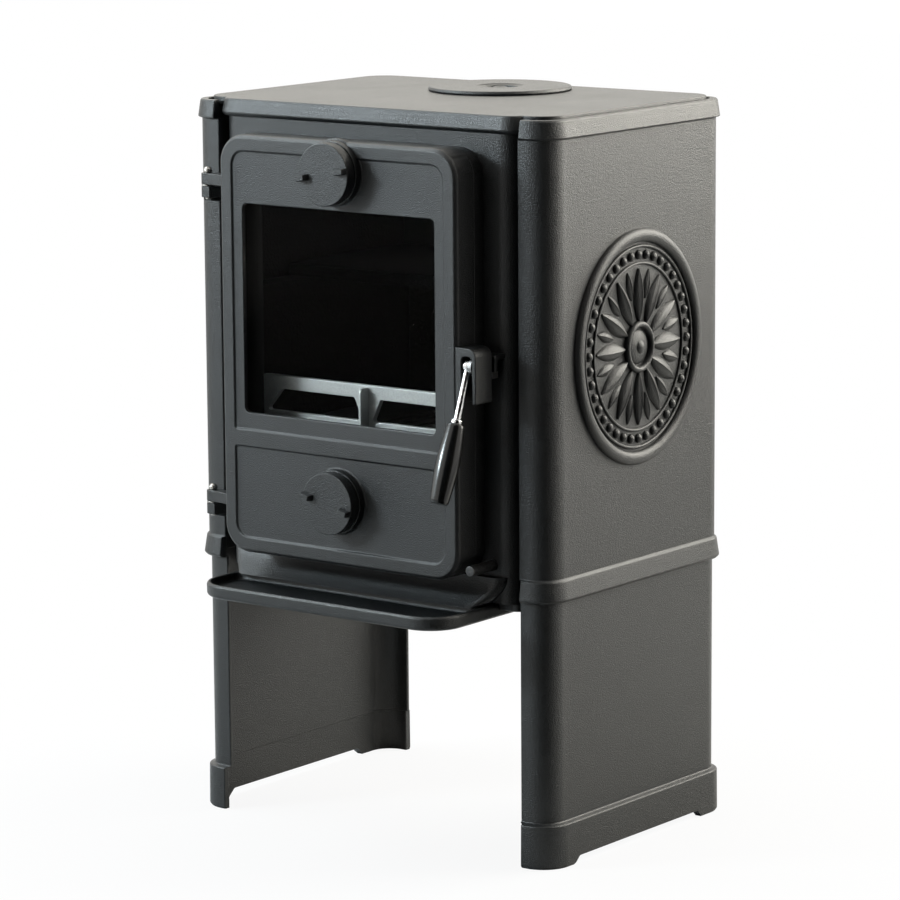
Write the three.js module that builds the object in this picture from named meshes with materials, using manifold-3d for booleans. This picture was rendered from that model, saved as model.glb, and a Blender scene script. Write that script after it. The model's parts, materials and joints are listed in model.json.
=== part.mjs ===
// A small cast-iron wood stove that stands on two panelled legs.
// X runs to the viewer's right, -Y is the front, Z is up, sizes are millimetres.
// The front face of the side panels lies at y = 0 while the pieces are made; the last
// lines move the finished stove so that the middle of its footprint is the origin.
import * as THREE from 'three';
import { mergeVertices } from 'three/addons/utils/BufferGeometryUtils.js';
import Module from 'manifold-3d';

const wasm = await Module();
wasm.setup();

// ---------------------------------------------------------------- driving sizes
const seatGap = 0.3; // left between two pieces that touch
const edgeRound = 1; // softening of cast edges
const arcSteps = 5; // straight steps in a quarter turn
const roundSteps = 24; // straight steps in a full turn

// Side and leg panels
const panelHalfWidth = 215; // middle of the stove to the outer face of a side panel
const panelDepth = 296;
const panelWall = 6;
const panelCorner = 26;
const flangeWidth = 35;
const railHeight = 18;
const railProud = 4;
const railTaper = 2.5;
const railEdgeSetback = 3.5;
const railDrop = 3; // how far the rails stop below the hotplate's surface
const legHeight = 257;
const bandHeight = 21.5;
const bandProud = 5;
const bandTaper = 3;
const baseSetback = 2;
const plinthHeight = 43.5;
const plinthProud = 4;
const plinthHollow = 2;
const archHeight = 7.5;
const footDepth = 40;
const footRamp = 8;
const flangeEdge = panelHalfWidth - flangeWidth;

// Hotplate and flue cover
const plateTop = 713;
const plateThickness = 17;
const plateSkin = 8;
const plateSkirt = 15;
const plateSideLap = 7;
const plateOverhang = 4;
const plateFrontCorner = 20;
const plateBackCorner = 60;
const plateDraft = 3; // how much narrower the plate is at its top edge
const plateLowRound = 3;
const wingGap = 0.7;
const wingSetback = 10; // front of the panels to the front of the wings
const wingCorner = 26;
const flueRadius = 60;
const flueSetIn = 79; // back of the panels to the middle of the flue hole
const coverLap = 11;
const coverThickness = 4.3;
const coverDishRadius = 18;
const coverDishDepth = 5;
const coverDishWall = 5;
const coverBoltRadius = 4;
const coverBoltHead = 8;
const coverBoltLength = 36;
const clampWidth = 22;
const clampThickness = 6;
const clampReach = 9;
const nutRadius = 7.5;
const nutHeight = 6.5;
const railTop = plateTop - railDrop;
const flueCentreY = panelDepth - flueSetIn;
const coverRadius = flueRadius + coverLap;

// Firebox, mouth and collar
const bodyClearance = 4; // firebox wall to the edge of a panel's flange
const bodyWall = 8;
const bodyCorner = 18;
const bodyDrop = 5; // how far the firebox reaches down inside the legs
const bodyBackInset = 11;
const mouthMargin = 43.3;
const mouthRise = 35; // firebox bottom to the sill of the mouth
const mouthTopDrop = 39; // hotplate to the lintel of the mouth
const mouthCorner = 18;
const collarWall = 8;
const collarDepth = 15;
const bodyHalfWidth = flangeEdge - bodyClearance;
const plateHalfWidth = bodyHalfWidth + plateSideLap;
const bodyBottom = legHeight - bodyDrop;
const bodyBack = panelDepth - bodyBackInset;
const mouthHalfWidth = bodyHalfWidth - mouthMargin;
const mouthBottom = bodyBottom + mouthRise;
const mouthTop = plateTop - mouthTopDrop;

// Apron and ash lip
const ridgeReach = 28;
const ridgeInset = 30;
const apronTopInset = 10;
const apronTopReach = 8;
const apronCorner = 12;
const lipInset = 25;
const lipReach = 86;
const lipCorner = 36;
const lipDrop = 1.8; // firebox bottom to the rim of the ash lip
const lipHeight = 13.7;
const lipWall = 4.5;
const lipFloor = 6;
const lipBack = 19;
const lipEarCorner = 10;
const lipRearCorner = 6;
const hearthSlab = 7.6;
const hollowDepth = 7;
const ridgeHalfWidth = bodyHalfWidth - ridgeInset;
const apronTopHalfWidth = bodyHalfWidth - apronTopInset;
const lipHalfWidth = bodyHalfWidth - lipInset;
const lipTop = bodyBottom - lipDrop;

// Grate, bricks and log guard
const grateRise = 138; // firebox bottom to the top of the grate
const grateThickness = 14;
const riddlerRadius = 86;
const riddlerClearance = 1.2;
const ledgeThickness = 4;
const ledgeWidth = 7;
const slotWidth = 9;
const slotPitch = 20;
const brickThickness = 25;
const brickSpigotGap = 10; // top of the bricks to the flue's opening
const baffleThickness = 12;
const baffleDepth = 186.7; // front edge of the baffle to the back wall
const grateLedgeWidth = 8;
const grateLedgeThickness = 8;
const guardSideGap = 3.7;
const guardSetback = 2;
const guardThickness = 6;
const guardRise = 56; // grate to the top of the log guard
const guardSlotDrop = 13;
const guardSlotHeight = 22;
const guardSlotInset = 23;
const guardSlotInner = 16;
const guardSlotSplayOuter = 19;
const guardSlotSplayInner = 10;
const guardFinWidth = 3;
const guardFinReach = 12;
const guardToe = 14;
const guardFoot = 5;
const guardTopCorner = 6;
const grateTop = bodyBottom + grateRise;
const riddlerCentreY = bodyBack / 2;
const guardHalfWidth = mouthHalfWidth - guardSideGap;
const guardTop = grateTop + guardRise;
const guardSlotTop = guardTop - guardSlotDrop;
const guardSlotBottom = guardSlotTop - guardSlotHeight;
const guardSlotOuter = guardHalfWidth - guardSlotInset;

// Riddling gear
const armEndGap = 18; // riddling rod to the inside of the firebox wall
const armWidth = 16;
const armThickness = 6;
const armDrop = 24;
const slotRun = 3.5; // extra length of the arm's slot for the swing of the arm
const hubRadius = 12;
const riddlingRodRadius = 5.2;
const riddlingRodRise = 1.5; // sill of the mouth to the middle of the rod
const riddlingRodReach = 37;
const riddlingPinRadius = 4;
const guideWidth = 16;
const guideSetback = 60;
const guideThickness = 10;
const armRadius = bodyHalfWidth - bodyWall - armEndGap; // middle of the grate to the rod
const riddlingRodZ = mouthBottom + riddlingRodRise;

// Ash pan
const panSideGap = 13.2;
const panSetback = 24;
const panBackGap = 29;
const panRise = 7;
const panHeight = 58;
const panWall = 2;
const panCorner = 8;
const pullRadius = 3;
const pullHalfWidth = 34;
const pullReach = 12;
const runnerInset = 19.5;
const runnerWidth = 10;
const runnerSetIn = 4; // front of the ash pan to the front of its runners
const panHalfWidth = mouthHalfWidth - panSideGap;
const panBack = bodyBack - bodyWall - panBackGap;
const panBottom = mouthBottom + panRise;
const runnerX = panHalfWidth - runnerInset;

// Door
const doorLap = 10; // how far the door covers the front wall round the mouth
const doorReach = 45; // how far the door's face stands in front of the side panels
const doorCorner = 28;
const doorFace = 8;
const doorSkirt = 12;
const doorGap = 1; // between the door's rim and the collar it closes on
const fieldDepth = 2;
const fieldMargin = 14.9;
const fieldRailDrop = 7.5; // grate to the top of the lower field
const fieldRailRise = 8; // grate to the bottom of the upper field
const fieldCorner = 15;
const fieldSmallCorner = 3;
const windowMargin = 26.9;
const windowRise = 25; // grate to the foot of the window
const windowTopDrop = 56; // lintel of the mouth to the top of the window
const windowCorner = 5.5;
const doorHalfWidth = mouthHalfWidth + doorLap;
const doorBottom = mouthBottom - doorLap;
const doorTop = mouthTop + doorLap;
const fieldHalfWidth = doorHalfWidth - fieldMargin;
const upperFieldBottom = grateTop + fieldRailRise;
const upperFieldTop = doorTop - fieldMargin;
const lowerFieldBottom = doorBottom + fieldMargin;
const lowerFieldTop = grateTop - fieldRailDrop;
const windowHalfWidth = doorHalfWidth - windowMargin;
const windowBottom = grateTop + windowRise;
const windowTop = mouthTop - windowTopDrop;

// Seals, glass and retainers
const ropeWidth = 5.8;
const ropeGroove = 6.4;
const glassThickness = 4;
const glassLap = 9.5;
const glassSealThickness = 2.4;
const glassSealWidth = 7;
const glassSealInset = 0.5;
const retainerInset = 11.8;
const retainerWidth = 22;
const retainerThickness = 2;
const retainerScrewInset = 20;
const retainerBossRadius = 6;
const screwRadius = 2.5;
const screwLength = 8;
const screwHeadRadius = 4.6;
const screwHeadHeight = 2.8;
const retainerHalfLength = windowHalfWidth - retainerInset;
const retainerScrewX = retainerHalfLength - retainerScrewInset;

// Air valves
const upperValveDrop = 30; // top of the door to the middle of the upper valve
const lowerValveRise = 63; // foot of the door to the middle of the lower valve
const valveRadius = 30;
const valveReach = 18; // door's face to the front of a valve disc
const valveThickness = 11.7;
const valveSeatRadius = 31;
const valveSeatWall = 5;
const valveSeatHeight = 8;
const valveHubRadius = 8;
const valveHubBack = 9;
const valveStudRadius = 4;
const valveStudBack = 4;
const valveSkin = 3; // iron left in front of the stud's socket
const airHoleRadius = 4.5;
const airHoleCount = 6;
const ribLength = 13;
const ribHeight = 8;
const ribWidth = 4;
const upperValveTurn = 10; // how far the finger ribs stand round from level, degrees
const lowerValveTurn = -14;
const upperValveZ = doorTop - upperValveDrop;
const lowerValveZ = doorBottom + lowerValveRise;

// Hinges
const hingeSideReach = 38.3; // edge of the door to the hinge pins
const hingeReach = 16;
const knuckleRadius = 6.5;
const upperKnuckleDrop = 54;
const lowerKnuckleRise = 40;
const knuckleHeight = 11;
const bodyKnuckleHeight = 11;
const washerThickness = 1.2;
const pinRadius = 3;
const pinHeadRadius = 4.3;
const pinHeadHeight = 5.5;
const pinTail = 2;
const notchWidth = 24;
const notchHeight = 16.5;
const notchDrop = 2;
const hingeX = doorHalfWidth + hingeSideReach;
const hingeY = -hingeReach;
const upperKnuckleZ = doorTop - upperKnuckleDrop;
const lowerKnuckleZ = doorBottom + lowerKnuckleRise;

// Latch and handle
const latchReach = 21.9; // edge of the door to the outer face of the latch housing
const latchRise = 17.6;
const latchDrop = 35.2;
const latchCheek = 4.6;
const latchInnerCheek = 5.5;
const latchLintel = 8.1;
const latchDepth = 26;
const latchCorner = 9;
const leverSideReach = 14.7;
const leverThickness = 4;
const leverPivotReach = 38.8;
const leverPivotRise = 2.7; // middle of the door's height to the pivot
const leverBossRadius = 7;
const latchPinRadius = 3;
const latchPinBite = 3; // how far the pivot pin goes into the door's rim
const handleSideReach = 9.3;
const handleLean = 20.9; // degrees that the hanging handle leans forward
const ballRadius = 6.2;
const ballWidth = 6.4;
const rodRadius = 3.4;
const rodLength = 51;
const rodBite = 20; // how far the rod goes up into the grip
const ferruleRadius = 5.4;
const ferruleLength = 4;
const gripLength = 76;
const gripNeckRadius = 8.8;
const gripBellyRadius = 11.5;
const gripEndRadius = 9;
const gripRound = 3;
const noseReach = 36;
const noseHeight = 6;
const keeperDrop = 8;
const keeperGap = 0.8;
const keeperReach = 15;
const keeperThickness = 6;
const keeperHalfWidth = 7;
const keeperHeight = 16;
const latchOuter = doorHalfWidth + latchReach;
const leverX = doorHalfWidth + leverSideReach;
const handleX = doorHalfWidth + handleSideReach;
const leverPivotY = -leverPivotReach;
const leverPivotZ = (doorBottom + doorTop) / 2 + leverPivotRise;
const latchTop = leverPivotZ + latchRise;
const latchBottom = leverPivotZ - latchDrop;

// Rear flue spigot
const spigotDrop = 113; // hotplate to the middle of the spigot
const spigotWall = 4;
const spigotReach = 40;
const spigotFlangeWidth = 24;
const spigotFlangeThickness = 8;
const spigotBoltInset = 11;
const boltRadius = 4;
const boltHeadRadius = 7.5;
const boltHeadHeight = 5.5;
const spigotZ = plateTop - spigotDrop;
const spigotFlangeRadius = flueRadius + spigotFlangeWidth;
const spigotBoltX = spigotFlangeRadius - spigotBoltInset;
const brickTop = spigotZ - flueRadius - brickSpigotGap;

// Spacers and leg brackets
const spacerRadius = 8;
const upperSpacerDrop = 61;
const lowerSpacerRise = 58;
const bracketThickness = 4;
const bracketHeight = 45;
const bracketEndGap = 60;
const bracketLap = 18; // how far a bracket reaches in under the hearth
const bracketBoltInset = 10;
const spacerY = panelDepth / 2;
const upperSpacerZ = plateTop - upperSpacerDrop;
const lowerSpacerZ = bodyBottom + lowerSpacerRise;
const bracketFront = bracketEndGap;
const bracketBack = panelDepth - bracketEndGap;
const bracketInner = bodyHalfWidth - bracketLap;
const bracketBoltX = bodyHalfWidth - bracketBoltInset;

// Ornament on the side panels
const reliefForward = 3; // how far it stands forward of the panel's middle
const reliefRadius = 104;
const reliefOval = 1.09; // height of the ornament over its width
const reliefHeight = 6;
const reliefFoot = 2; // how far the ornament is sunk into the casting
const ringWidth = 12;
const beadCount = 20;
const beadRadius = 6;
const petalCount = 8;
const petalLength = 30;
const petalWidth = 13;
const buttonRadius = 14;
const reliefCentreY = panelDepth / 2 - reliefForward;
const reliefCentreZ = (legHeight + railTop) / 2;

// ---------------------------------------------------------------- finishes
const finishes = {
  castIron: { color: 0x3c4042, roughness: 0.7, metalness: 0.3 },
  grateIron: { color: 0x2b2a29, roughness: 0.85, metalness: 0.3 },
  chrome: { color: 0xd8dadc, roughness: 0.12, metalness: 1 },
  steel: { color: 0x8c8f92, roughness: 0.4, metalness: 1 },
  pan: { color: 0x55585a, roughness: 0.5, metalness: 0.8 },
  bakelite: { color: 0x0b0b0c, roughness: 0.18, metalness: 0 },
  firebrick: { color: 0xb8a27e, roughness: 0.95, metalness: 0 },
  rope: { color: 0xc9c4b8, roughness: 0.95, metalness: 0 },
  glass: { color: 0x20242a, roughness: 0.05, metalness: 0, transparent: true, opacity: 0.35 },
};

// ---------------------------------------------------------------- solid helpers
const toRadians = THREE.MathUtils.degToRad;

function toSolid(geometry) {
  const bare = geometry.clone();
  bare.deleteAttribute('normal');
  bare.deleteAttribute('uv');
  const merged = mergeVertices(bare, 1e-4);
  const corners = merged.index.array;
  const triVerts = [];
  for (let i = 0; i < corners.length; i += 3) {
    const [a, b, c] = [corners[i], corners[i + 1], corners[i + 2]];
    if (a !== b && b !== c && c !== a) triVerts.push(a, b, c);
  }
  const vertProperties = new Float32Array(merged.attributes.position.array);
  return new wasm.Manifold(
    new wasm.Mesh({ numProp: 3, vertProperties, triVerts: new Uint32Array(triVerts) }),
  );
}

function toGeometry(solid) {
  const mesh = solid.getMesh();
  const geometry = new THREE.BufferGeometry();
  geometry.setAttribute('position', new THREE.BufferAttribute(mesh.vertProperties, 3));
  geometry.setIndex(new THREE.BufferAttribute(mesh.triVerts, 1));
  geometry.computeVertexNormals();
  return geometry;
}

function join(first, ...others) {
  let solid = toSolid(first);
  for (const other of others) solid = solid.add(toSolid(other));
  return toGeometry(solid);
}

function cut(first, ...tools) {
  let solid = toSolid(first);
  for (const tool of tools) solid = solid.subtract(toSolid(tool));
  return toGeometry(solid);
}

// The same piece on the other side of the stove.
function mirrored(geometry) {
  const copy = geometry.clone().scale(-1, 1, 1);
  const corners = copy.index.array;
  for (let i = 0; i < corners.length; i += 3) {
    [corners[i], corners[i + 1]] = [corners[i + 1], corners[i]];
  }
  copy.computeVertexNormals();
  return copy;
}

function arc(centreX, centreY, radius, fromDegrees, toDegrees, steps = arcSteps) {
  const points = [];
  for (let i = 0; i <= steps; i++) {
    const angle = toRadians(fromDegrees + ((toDegrees - fromDegrees) * i) / steps);
    points.push(
      new THREE.Vector2(centreX + radius * Math.cos(angle), centreY + radius * Math.sin(angle)),
    );
  }
  return points;
}

function circle(centreX, centreY, radius, steps = roundSteps) {
  return arc(centreX, centreY, radius, 0, 360, steps).slice(0, -1);
}

// A rectangle from (x0, y0) to (x1, y1) with its lower and upper corners rounded.
function roundedRect(x0, x1, y0, y1, lowerRadius, upperRadius = lowerRadius) {
  return [
    ...arc(x0 + lowerRadius, y0 + lowerRadius, lowerRadius, 180, 270),
    ...arc(x1 - lowerRadius, y0 + lowerRadius, lowerRadius, 270, 360),
    ...arc(x1 - upperRadius, y1 - upperRadius, upperRadius, 0, 90),
    ...arc(x0 + upperRadius, y1 - upperRadius, upperRadius, 90, 180),
  ];
}

function points(...pairs) {
  return pairs.map(([x, y]) => new THREE.Vector2(x, y));
}

function extrude(outline, depth, holes) {
  const shape = new THREE.Shape(outline);
  for (const hole of holes) shape.holes.push(new THREE.Path(hole));
  return new THREE.ExtrudeGeometry(shape, { depth, steps: 1, bevelEnabled: false });
}

// Outlines drawn in plan (x, y) and raised from z0 to z1.
function extrudeZ(outline, z0, z1, holes = []) {
  return extrude(outline, z1 - z0, holes).translate(0, 0, z0);
}

// Outlines drawn in front view (x, z) and run back from y0 to y1.
function extrudeY(outline, y0, y1, holes = []) {
  return extrude(outline, y1 - y0, holes).rotateX(Math.PI / 2).translate(0, y1, 0);
}

// Outlines drawn in side view (y, z) and run across from x0 to x1.
function extrudeX(outline, x0, x1, holes = []) {
  const sideways = new THREE.Matrix4().makeBasis(
    new THREE.Vector3(0, 1, 0),
    new THREE.Vector3(0, 0, 1),
    new THREE.Vector3(1, 0, 0),
  );
  return extrude(outline, x1 - x0, holes).applyMatrix4(sideways).translate(x0, 0, 0);
}

function block(x0, x1, y0, y1, z0, z1) {
  return new THREE.BoxGeometry(x1 - x0, y1 - y0, z1 - z0)
    .translate((x0 + x1) / 2, (y0 + y1) / 2, (z0 + z1) / 2);
}

function rodX(x0, x1, y, z, radius, steps = roundSteps) {
  return extrudeX(circle(y, z, radius, steps), x0, x1);
}

function rodY(x, y0, y1, z, radius, steps = roundSteps) {
  return extrudeY(circle(x, z, radius, steps), y0, y1);
}

function rodZ(x, y, z0, z1, radius, steps = roundSteps) {
  return extrudeZ(circle(x, y, radius, steps), z0, z1);
}

// A turned piece: [radius, height] pairs from the bottom of its axis to the top.
function turned(profile, steps = roundSteps) {
  const line = profile.map(([radius, height]) => new THREE.Vector2(radius, height));
  return new THREE.LatheGeometry(line, steps).rotateX(Math.PI / 2);
}

// A skin over a stack of level outlines that all have the same number of points.
function loft(levels) {
  const count = levels[0].outline.length;
  const positions = levels.flatMap(({ z, outline }) => outline.flatMap((p) => [p.x, p.y, z]));
  const index = [];
  for (let level = 0; level + 1 < levels.length; level++) {
    for (let i = 0; i < count; i++) {
      const a = level * count + i;
      const b = level * count + ((i + 1) % count);
      index.push(a, b, b + count, a, b + count, a + count);
    }
  }
  const lastStart = (levels.length - 1) * count;
  for (const [a, b, c] of THREE.ShapeUtils.triangulateShape(levels[0].outline, [])) {
    index.push(a, c, b);
  }
  for (const [a, b, c] of THREE.ShapeUtils.triangulateShape(levels.at(-1).outline, [])) {
    index.push(lastStart + a, lastStart + b, lastStart + c);
  }
  const geometry = new THREE.BufferGeometry();
  geometry.setAttribute('position', new THREE.Float32BufferAttribute(positions, 3));
  geometry.setIndex(index);
  return geometry;
}

// ---------------------------------------------------------------- the stove
const stove = new THREE.Group();

function add(name, finish, geometry) {
  const mesh = new THREE.Mesh(join(geometry), new THREE.MeshStandardMaterial(finishes[finish]));
  mesh.name = name;
  stove.add(mesh);
}

// ---------------------------------------------------------------- side and leg panels
// Each panel is a channel in plan: an outer wall with a flange at the front and back.
function channelOutline(proud, edgeSetback = 0, hollow = 0) {
  const edge = flangeEdge + edgeSetback;
  const centreX = panelHalfWidth - panelCorner;
  const backY = panelDepth - panelCorner;
  const outer = panelCorner + proud;
  const inner = panelCorner - panelWall + hollow;
  return [
    new THREE.Vector2(edge, -proud),
    ...arc(centreX, panelCorner, outer, -90, 0),
    ...arc(centreX, backY, outer, 0, 90),
    new THREE.Vector2(edge, panelDepth + proud),
    new THREE.Vector2(edge, panelDepth - panelWall + hollow),
    ...arc(centreX, backY, inner, 90, 0),
    ...arc(centreX, panelCorner, inner, 0, -90),
    new THREE.Vector2(edge, panelWall - hollow),
  ];
}

// A low dome, half length and half width long, whose foot is sunk into the casting.
function dome(x, y, halfLength, halfWidth, height, turn) {
  const profile = [
    [0, -reliefFoot],
    [1, -reliefFoot],
    [1, 0],
    [0.8, height * 0.6],
    [0.4, height * 0.93],
    [0, height],
  ];
  return turned(profile, 8).scale(halfLength, halfWidth, 1).rotateZ(turn).translate(x, y, 0);
}

// Domes spread evenly on a circle round the middle of the ornament.
function domeCircle(count, start, radius, halfLength, halfWidth, height) {
  const domes = [];
  for (let i = 0; i < count; i++) {
    const angle = start + (2 * Math.PI * i) / count;
    const [x, y] = [radius * Math.cos(angle), radius * Math.sin(angle)];
    domes.push(dome(x, y, halfLength, halfWidth, height, angle));
  }
  return domes;
}

// A traditional oval ornament for the right-hand panel: a moulded ring, a circle of
// beads, and a petalled rosette round a button. It is drawn flat and then stood up.
function ornament() {
  const innerEdge = reliefRadius - ringWidth;
  const shoulder = reliefHeight * 0.4;
  const ringProfile = [
    [innerEdge, -reliefFoot],
    [reliefRadius, -reliefFoot],
    [reliefRadius, shoulder],
    [reliefRadius - ringWidth * 0.3, reliefHeight],
    [innerEdge + ringWidth * 0.3, reliefHeight],
    [innerEdge, shoulder],
    [innerEdge, -reliefFoot],
  ];
  const petalMiddle = buttonRadius + petalLength / 2;
  const beadMiddle = innerEdge - beadRadius * 1.6;
  const shapes = [
    turned(ringProfile, 36),
    dome(0, 0, buttonRadius, buttonRadius, reliefHeight * 1.2, 0),
    ...domeCircle(petalCount, 0, petalMiddle, petalLength / 2, petalWidth / 2, reliefHeight),
    ...domeCircle(beadCount, 0, beadMiddle, beadRadius, beadRadius, reliefHeight * 0.7),
  ];
  const standUp = new THREE.Matrix4().makeBasis(
    new THREE.Vector3(0, 1, 0),
    new THREE.Vector3(0, 0, reliefOval),
    new THREE.Vector3(1, 0, 0),
  );
  return shapes.map((shape) => shape.applyMatrix4(standUp)
    .translate(panelHalfWidth, reliefCentreY, reliefCentreZ));
}

function sidePanel() {
  const bandTop = legHeight + bandHeight;
  const bandTopProud = bandProud - bandTaper;
  const railBottom = railTop - railHeight;
  const level = (z, proud, edgeSetback) => ({ z, outline: channelOutline(proud, edgeSetback) });
  const skin = loft([
    level(legHeight, bandProud - edgeRound, bandTaper),
    level(legHeight + edgeRound, bandProud, bandTaper),
    level(bandTop - edgeRound, bandTopProud, edgeRound),
    level(bandTop, 0, 0),
    level(railBottom, 0, 0),
    level(railBottom + edgeRound, railProud, railEdgeSetback),
    level(railTop - edgeRound, railProud - railTaper, railEdgeSetback),
    level(railTop, railProud - railTaper - edgeRound, railEdgeSetback),
  ]);
  return join(skin, ...ornament());
}

// The gap under a leg panel, between its front and rear feet.
function archCutter() {
  const front = footDepth - plinthProud;
  const rear = panelDepth + plinthProud - footDepth - footRamp;
  const below = -1;
  const outline = points(
    [front, below],
    [rear, below],
    [rear - footRamp, archHeight],
    [front + footRamp, archHeight],
  );
  return extrudeX(outline, flangeEdge - 1, panelHalfWidth + plinthProud + 1);
}

function legPanel() {
  const level = (z, proud, edge, hollow) => ({ z, outline: channelOutline(proud, edge, hollow) });
  const skin = loft([
    level(0, plinthProud - edgeRound, railEdgeSetback, plinthHollow),
    level(edgeRound, plinthProud, railEdgeSetback, plinthHollow),
    level(plinthHeight - edgeRound, plinthProud, railEdgeSetback, plinthHollow),
    level(plinthHeight, -baseSetback, 0, 0),
    level(legHeight - seatGap, -baseSetback, 0, 0),
  ]);
  return cut(skin, archCutter());
}

// The left panel's front flange is notched where the door's hinges stand.
function hingeNotch(knuckleZ) {
  const top = knuckleZ - notchDrop;
  const inner = flangeEdge - 1;
  return block(-inner - notchWidth, -inner, -1, panelWall + 1, top - notchHeight, top);
}

const rightPanel = sidePanel();
const leftPanel = cut(mirrored(rightPanel), hingeNotch(upperKnuckleZ), hingeNotch(lowerKnuckleZ));
const rightLeg = legPanel();
add('right_side_panel', 'castIron', rightPanel);
add('left_side_panel', 'castIron', leftPanel);
add('right_leg_panel', 'castIron', rightLeg);
add('left_leg_panel', 'castIron', mirrored(rightLeg));

// Turned distance pieces hold each side panel off the firebox.
function spacer(z) {
  const from = bodyHalfWidth + seatGap;
  const to = panelHalfWidth - panelWall - seatGap;
  return rodX(from, to, spacerY, z, spacerRadius, 12);
}

for (const [height, z] of Object.entries({ upper: upperSpacerZ, lower: lowerSpacerZ })) {
  add(`right_panel_spacer_${height}`, 'steel', spacer(z));
  add(`left_panel_spacer_${height}`, 'steel', mirrored(join(spacer(z))));
}

// Angle brackets inside the leg panels carry the hearth.
const slabBottom = bodyBottom - seatGap - hearthSlab;
const bracketTop = slabBottom - seatGap;
const bracketOuter = panelHalfWidth - panelWall - seatGap;

function legBracket() {
  const outline = points(
    [bracketOuter, bracketTop - bracketHeight],
    [bracketOuter, bracketTop],
    [bracketInner, bracketTop],
    [bracketInner, bracketTop - bracketThickness],
    [bracketOuter - bracketThickness, bracketTop - bracketThickness],
    [bracketOuter - bracketThickness, bracketTop - bracketHeight],
  );
  const angle = extrudeY(outline, bracketFront, bracketBack);
  const hole = rodZ(bracketBoltX, spacerY, bracketTop - bracketHeight, bracketTop + 1, boltRadius + seatGap);
  return cut(angle, hole);
}

// A hexagon-headed bolt that points up, with its head's upper face at the given height.
function uprightBolt(x, y, headTop, length) {
  return join(
    rodZ(x, y, headTop - boltHeadHeight, headTop, boltHeadRadius, 6),
    rodZ(x, y, headTop - 1, headTop + length, boltRadius, 12),
  );
}

const bracket = legBracket();
const bracketBolt = uprightBolt(
  bracketBoltX,
  spacerY,
  bracketTop - bracketThickness - seatGap,
  bracketThickness + hearthSlab,
);
add('right_leg_bracket', 'steel', bracket);
add('left_leg_bracket', 'steel', mirrored(bracket));
add('right_leg_bolt', 'steel', bracketBolt);
add('left_leg_bolt', 'steel', mirrored(bracketBolt));

// ---------------------------------------------------------------- hotplate and flue cover
const plateBack = panelDepth - panelWall - wingGap;

// Behind the front flanges the plate widens into two thin wings that close the tops of
// the hollow side panels.
function hotplateWings() {
  const halfWidth = panelHalfWidth - panelWall - wingGap;
  const level = (z, inset) => ({
    z,
    outline: roundedRect(
      -halfWidth + inset,
      halfWidth - inset,
      wingSetback + inset,
      plateBack - inset,
      wingCorner - inset,
      wingCorner - inset,
    ),
  });
  return loft([
    level(plateTop - plateSkin, 0),
    level(plateTop - edgeRound, 0),
    level(plateTop, edgeRound),
  ]);
}

function hotplate() {
  const bottom = plateTop - plateThickness;
  const level = (z, inset) => ({
    z,
    outline: roundedRect(
      -plateHalfWidth + inset,
      plateHalfWidth - inset,
      -plateOverhang + inset,
      plateBack - inset,
      plateFrontCorner - inset,
      plateBackCorner - inset,
    ),
  });
  const slab = loft([
    level(bottom, plateLowRound),
    level(bottom + plateLowRound * 0.3, plateLowRound * 0.3),
    level(bottom + plateLowRound, 0),
    level(plateTop - edgeRound, plateDraft),
    level(plateTop, plateDraft + edgeRound),
  ]);
  const underside = loft([level(bottom - 1, plateSkirt), level(plateTop - plateSkin, plateSkirt)]);
  const flueHole = rodZ(0, flueCentreY, bottom - 1, plateTop + 1, flueRadius, 32);
  return cut(join(slab, hotplateWings()), underside, flueHole);
}

const coverBottom = plateTop + seatGap;
const coverTop = plateTop + coverThickness;
const dishBottom = coverTop - coverDishDepth;
const clampTop = plateTop - plateSkin - seatGap;

// A round cover with a dish in the middle that takes the bolt's head.
function flueCover() {
  const bossBottom = dishBottom - coverDishWall;
  const profile = [
    [coverBoltRadius + seatGap, bossBottom],
    [coverDishRadius + coverDishWall, bossBottom],
    [coverDishRadius + coverDishWall, coverBottom],
    [coverRadius, coverBottom],
    [coverRadius, coverTop - edgeRound],
    [coverRadius - edgeRound, coverTop],
    [coverDishRadius, coverTop],
    [coverDishRadius, dishBottom],
    [coverBoltRadius + seatGap, dishBottom],
    [coverBoltRadius + seatGap, bossBottom],
  ];
  return turned(profile, 40).translate(0, flueCentreY, 0);
}

function coverBolt() {
  const headBottom = dishBottom + seatGap;
  const profile = [
    [0, headBottom - coverBoltLength],
    [coverBoltRadius, headBottom - coverBoltLength],
    [coverBoltRadius, headBottom],
    [coverBoltHead, headBottom],
    [coverBoltHead, headBottom + coverDishDepth * 0.3],
    [coverBoltHead * 0.6, headBottom + coverDishDepth * 0.7],
    [0, headBottom + coverDishDepth * 0.8],
  ];
  return turned(profile, 16).translate(0, flueCentreY, 0);
}

// The bar lies under the hotplate and pulls the cover down onto it.
function coverClamp() {
  const reach = flueRadius + clampReach;
  const half = clampWidth / 2;
  const bottom = clampTop - clampThickness;
  const bar = block(-reach, reach, flueCentreY - half, flueCentreY + half, bottom, clampTop);
  const radius = coverBoltRadius + seatGap;
  return cut(bar, rodZ(0, flueCentreY, bottom - 1, clampTop + 1, radius, 16));
}

function coverNut() {
  const top = clampTop - clampThickness - seatGap;
  const radius = coverBoltRadius + seatGap;
  return cut(
    rodZ(0, flueCentreY, top - nutHeight, top, nutRadius, 6),
    rodZ(0, flueCentreY, top - nutHeight - 1, top + 1, radius, 16),
  );
}

add('hotplate', 'castIron', hotplate());
add('flue_cover', 'castIron', flueCover());
add('flue_cover_bolt', 'steel', coverBolt());
add('flue_cover_clamp', 'grateIron', coverClamp());
add('flue_cover_nut', 'steel', coverNut());

// ---------------------------------------------------------------- firebox front
const wallTop = plateTop - plateThickness - seatGap;

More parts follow.
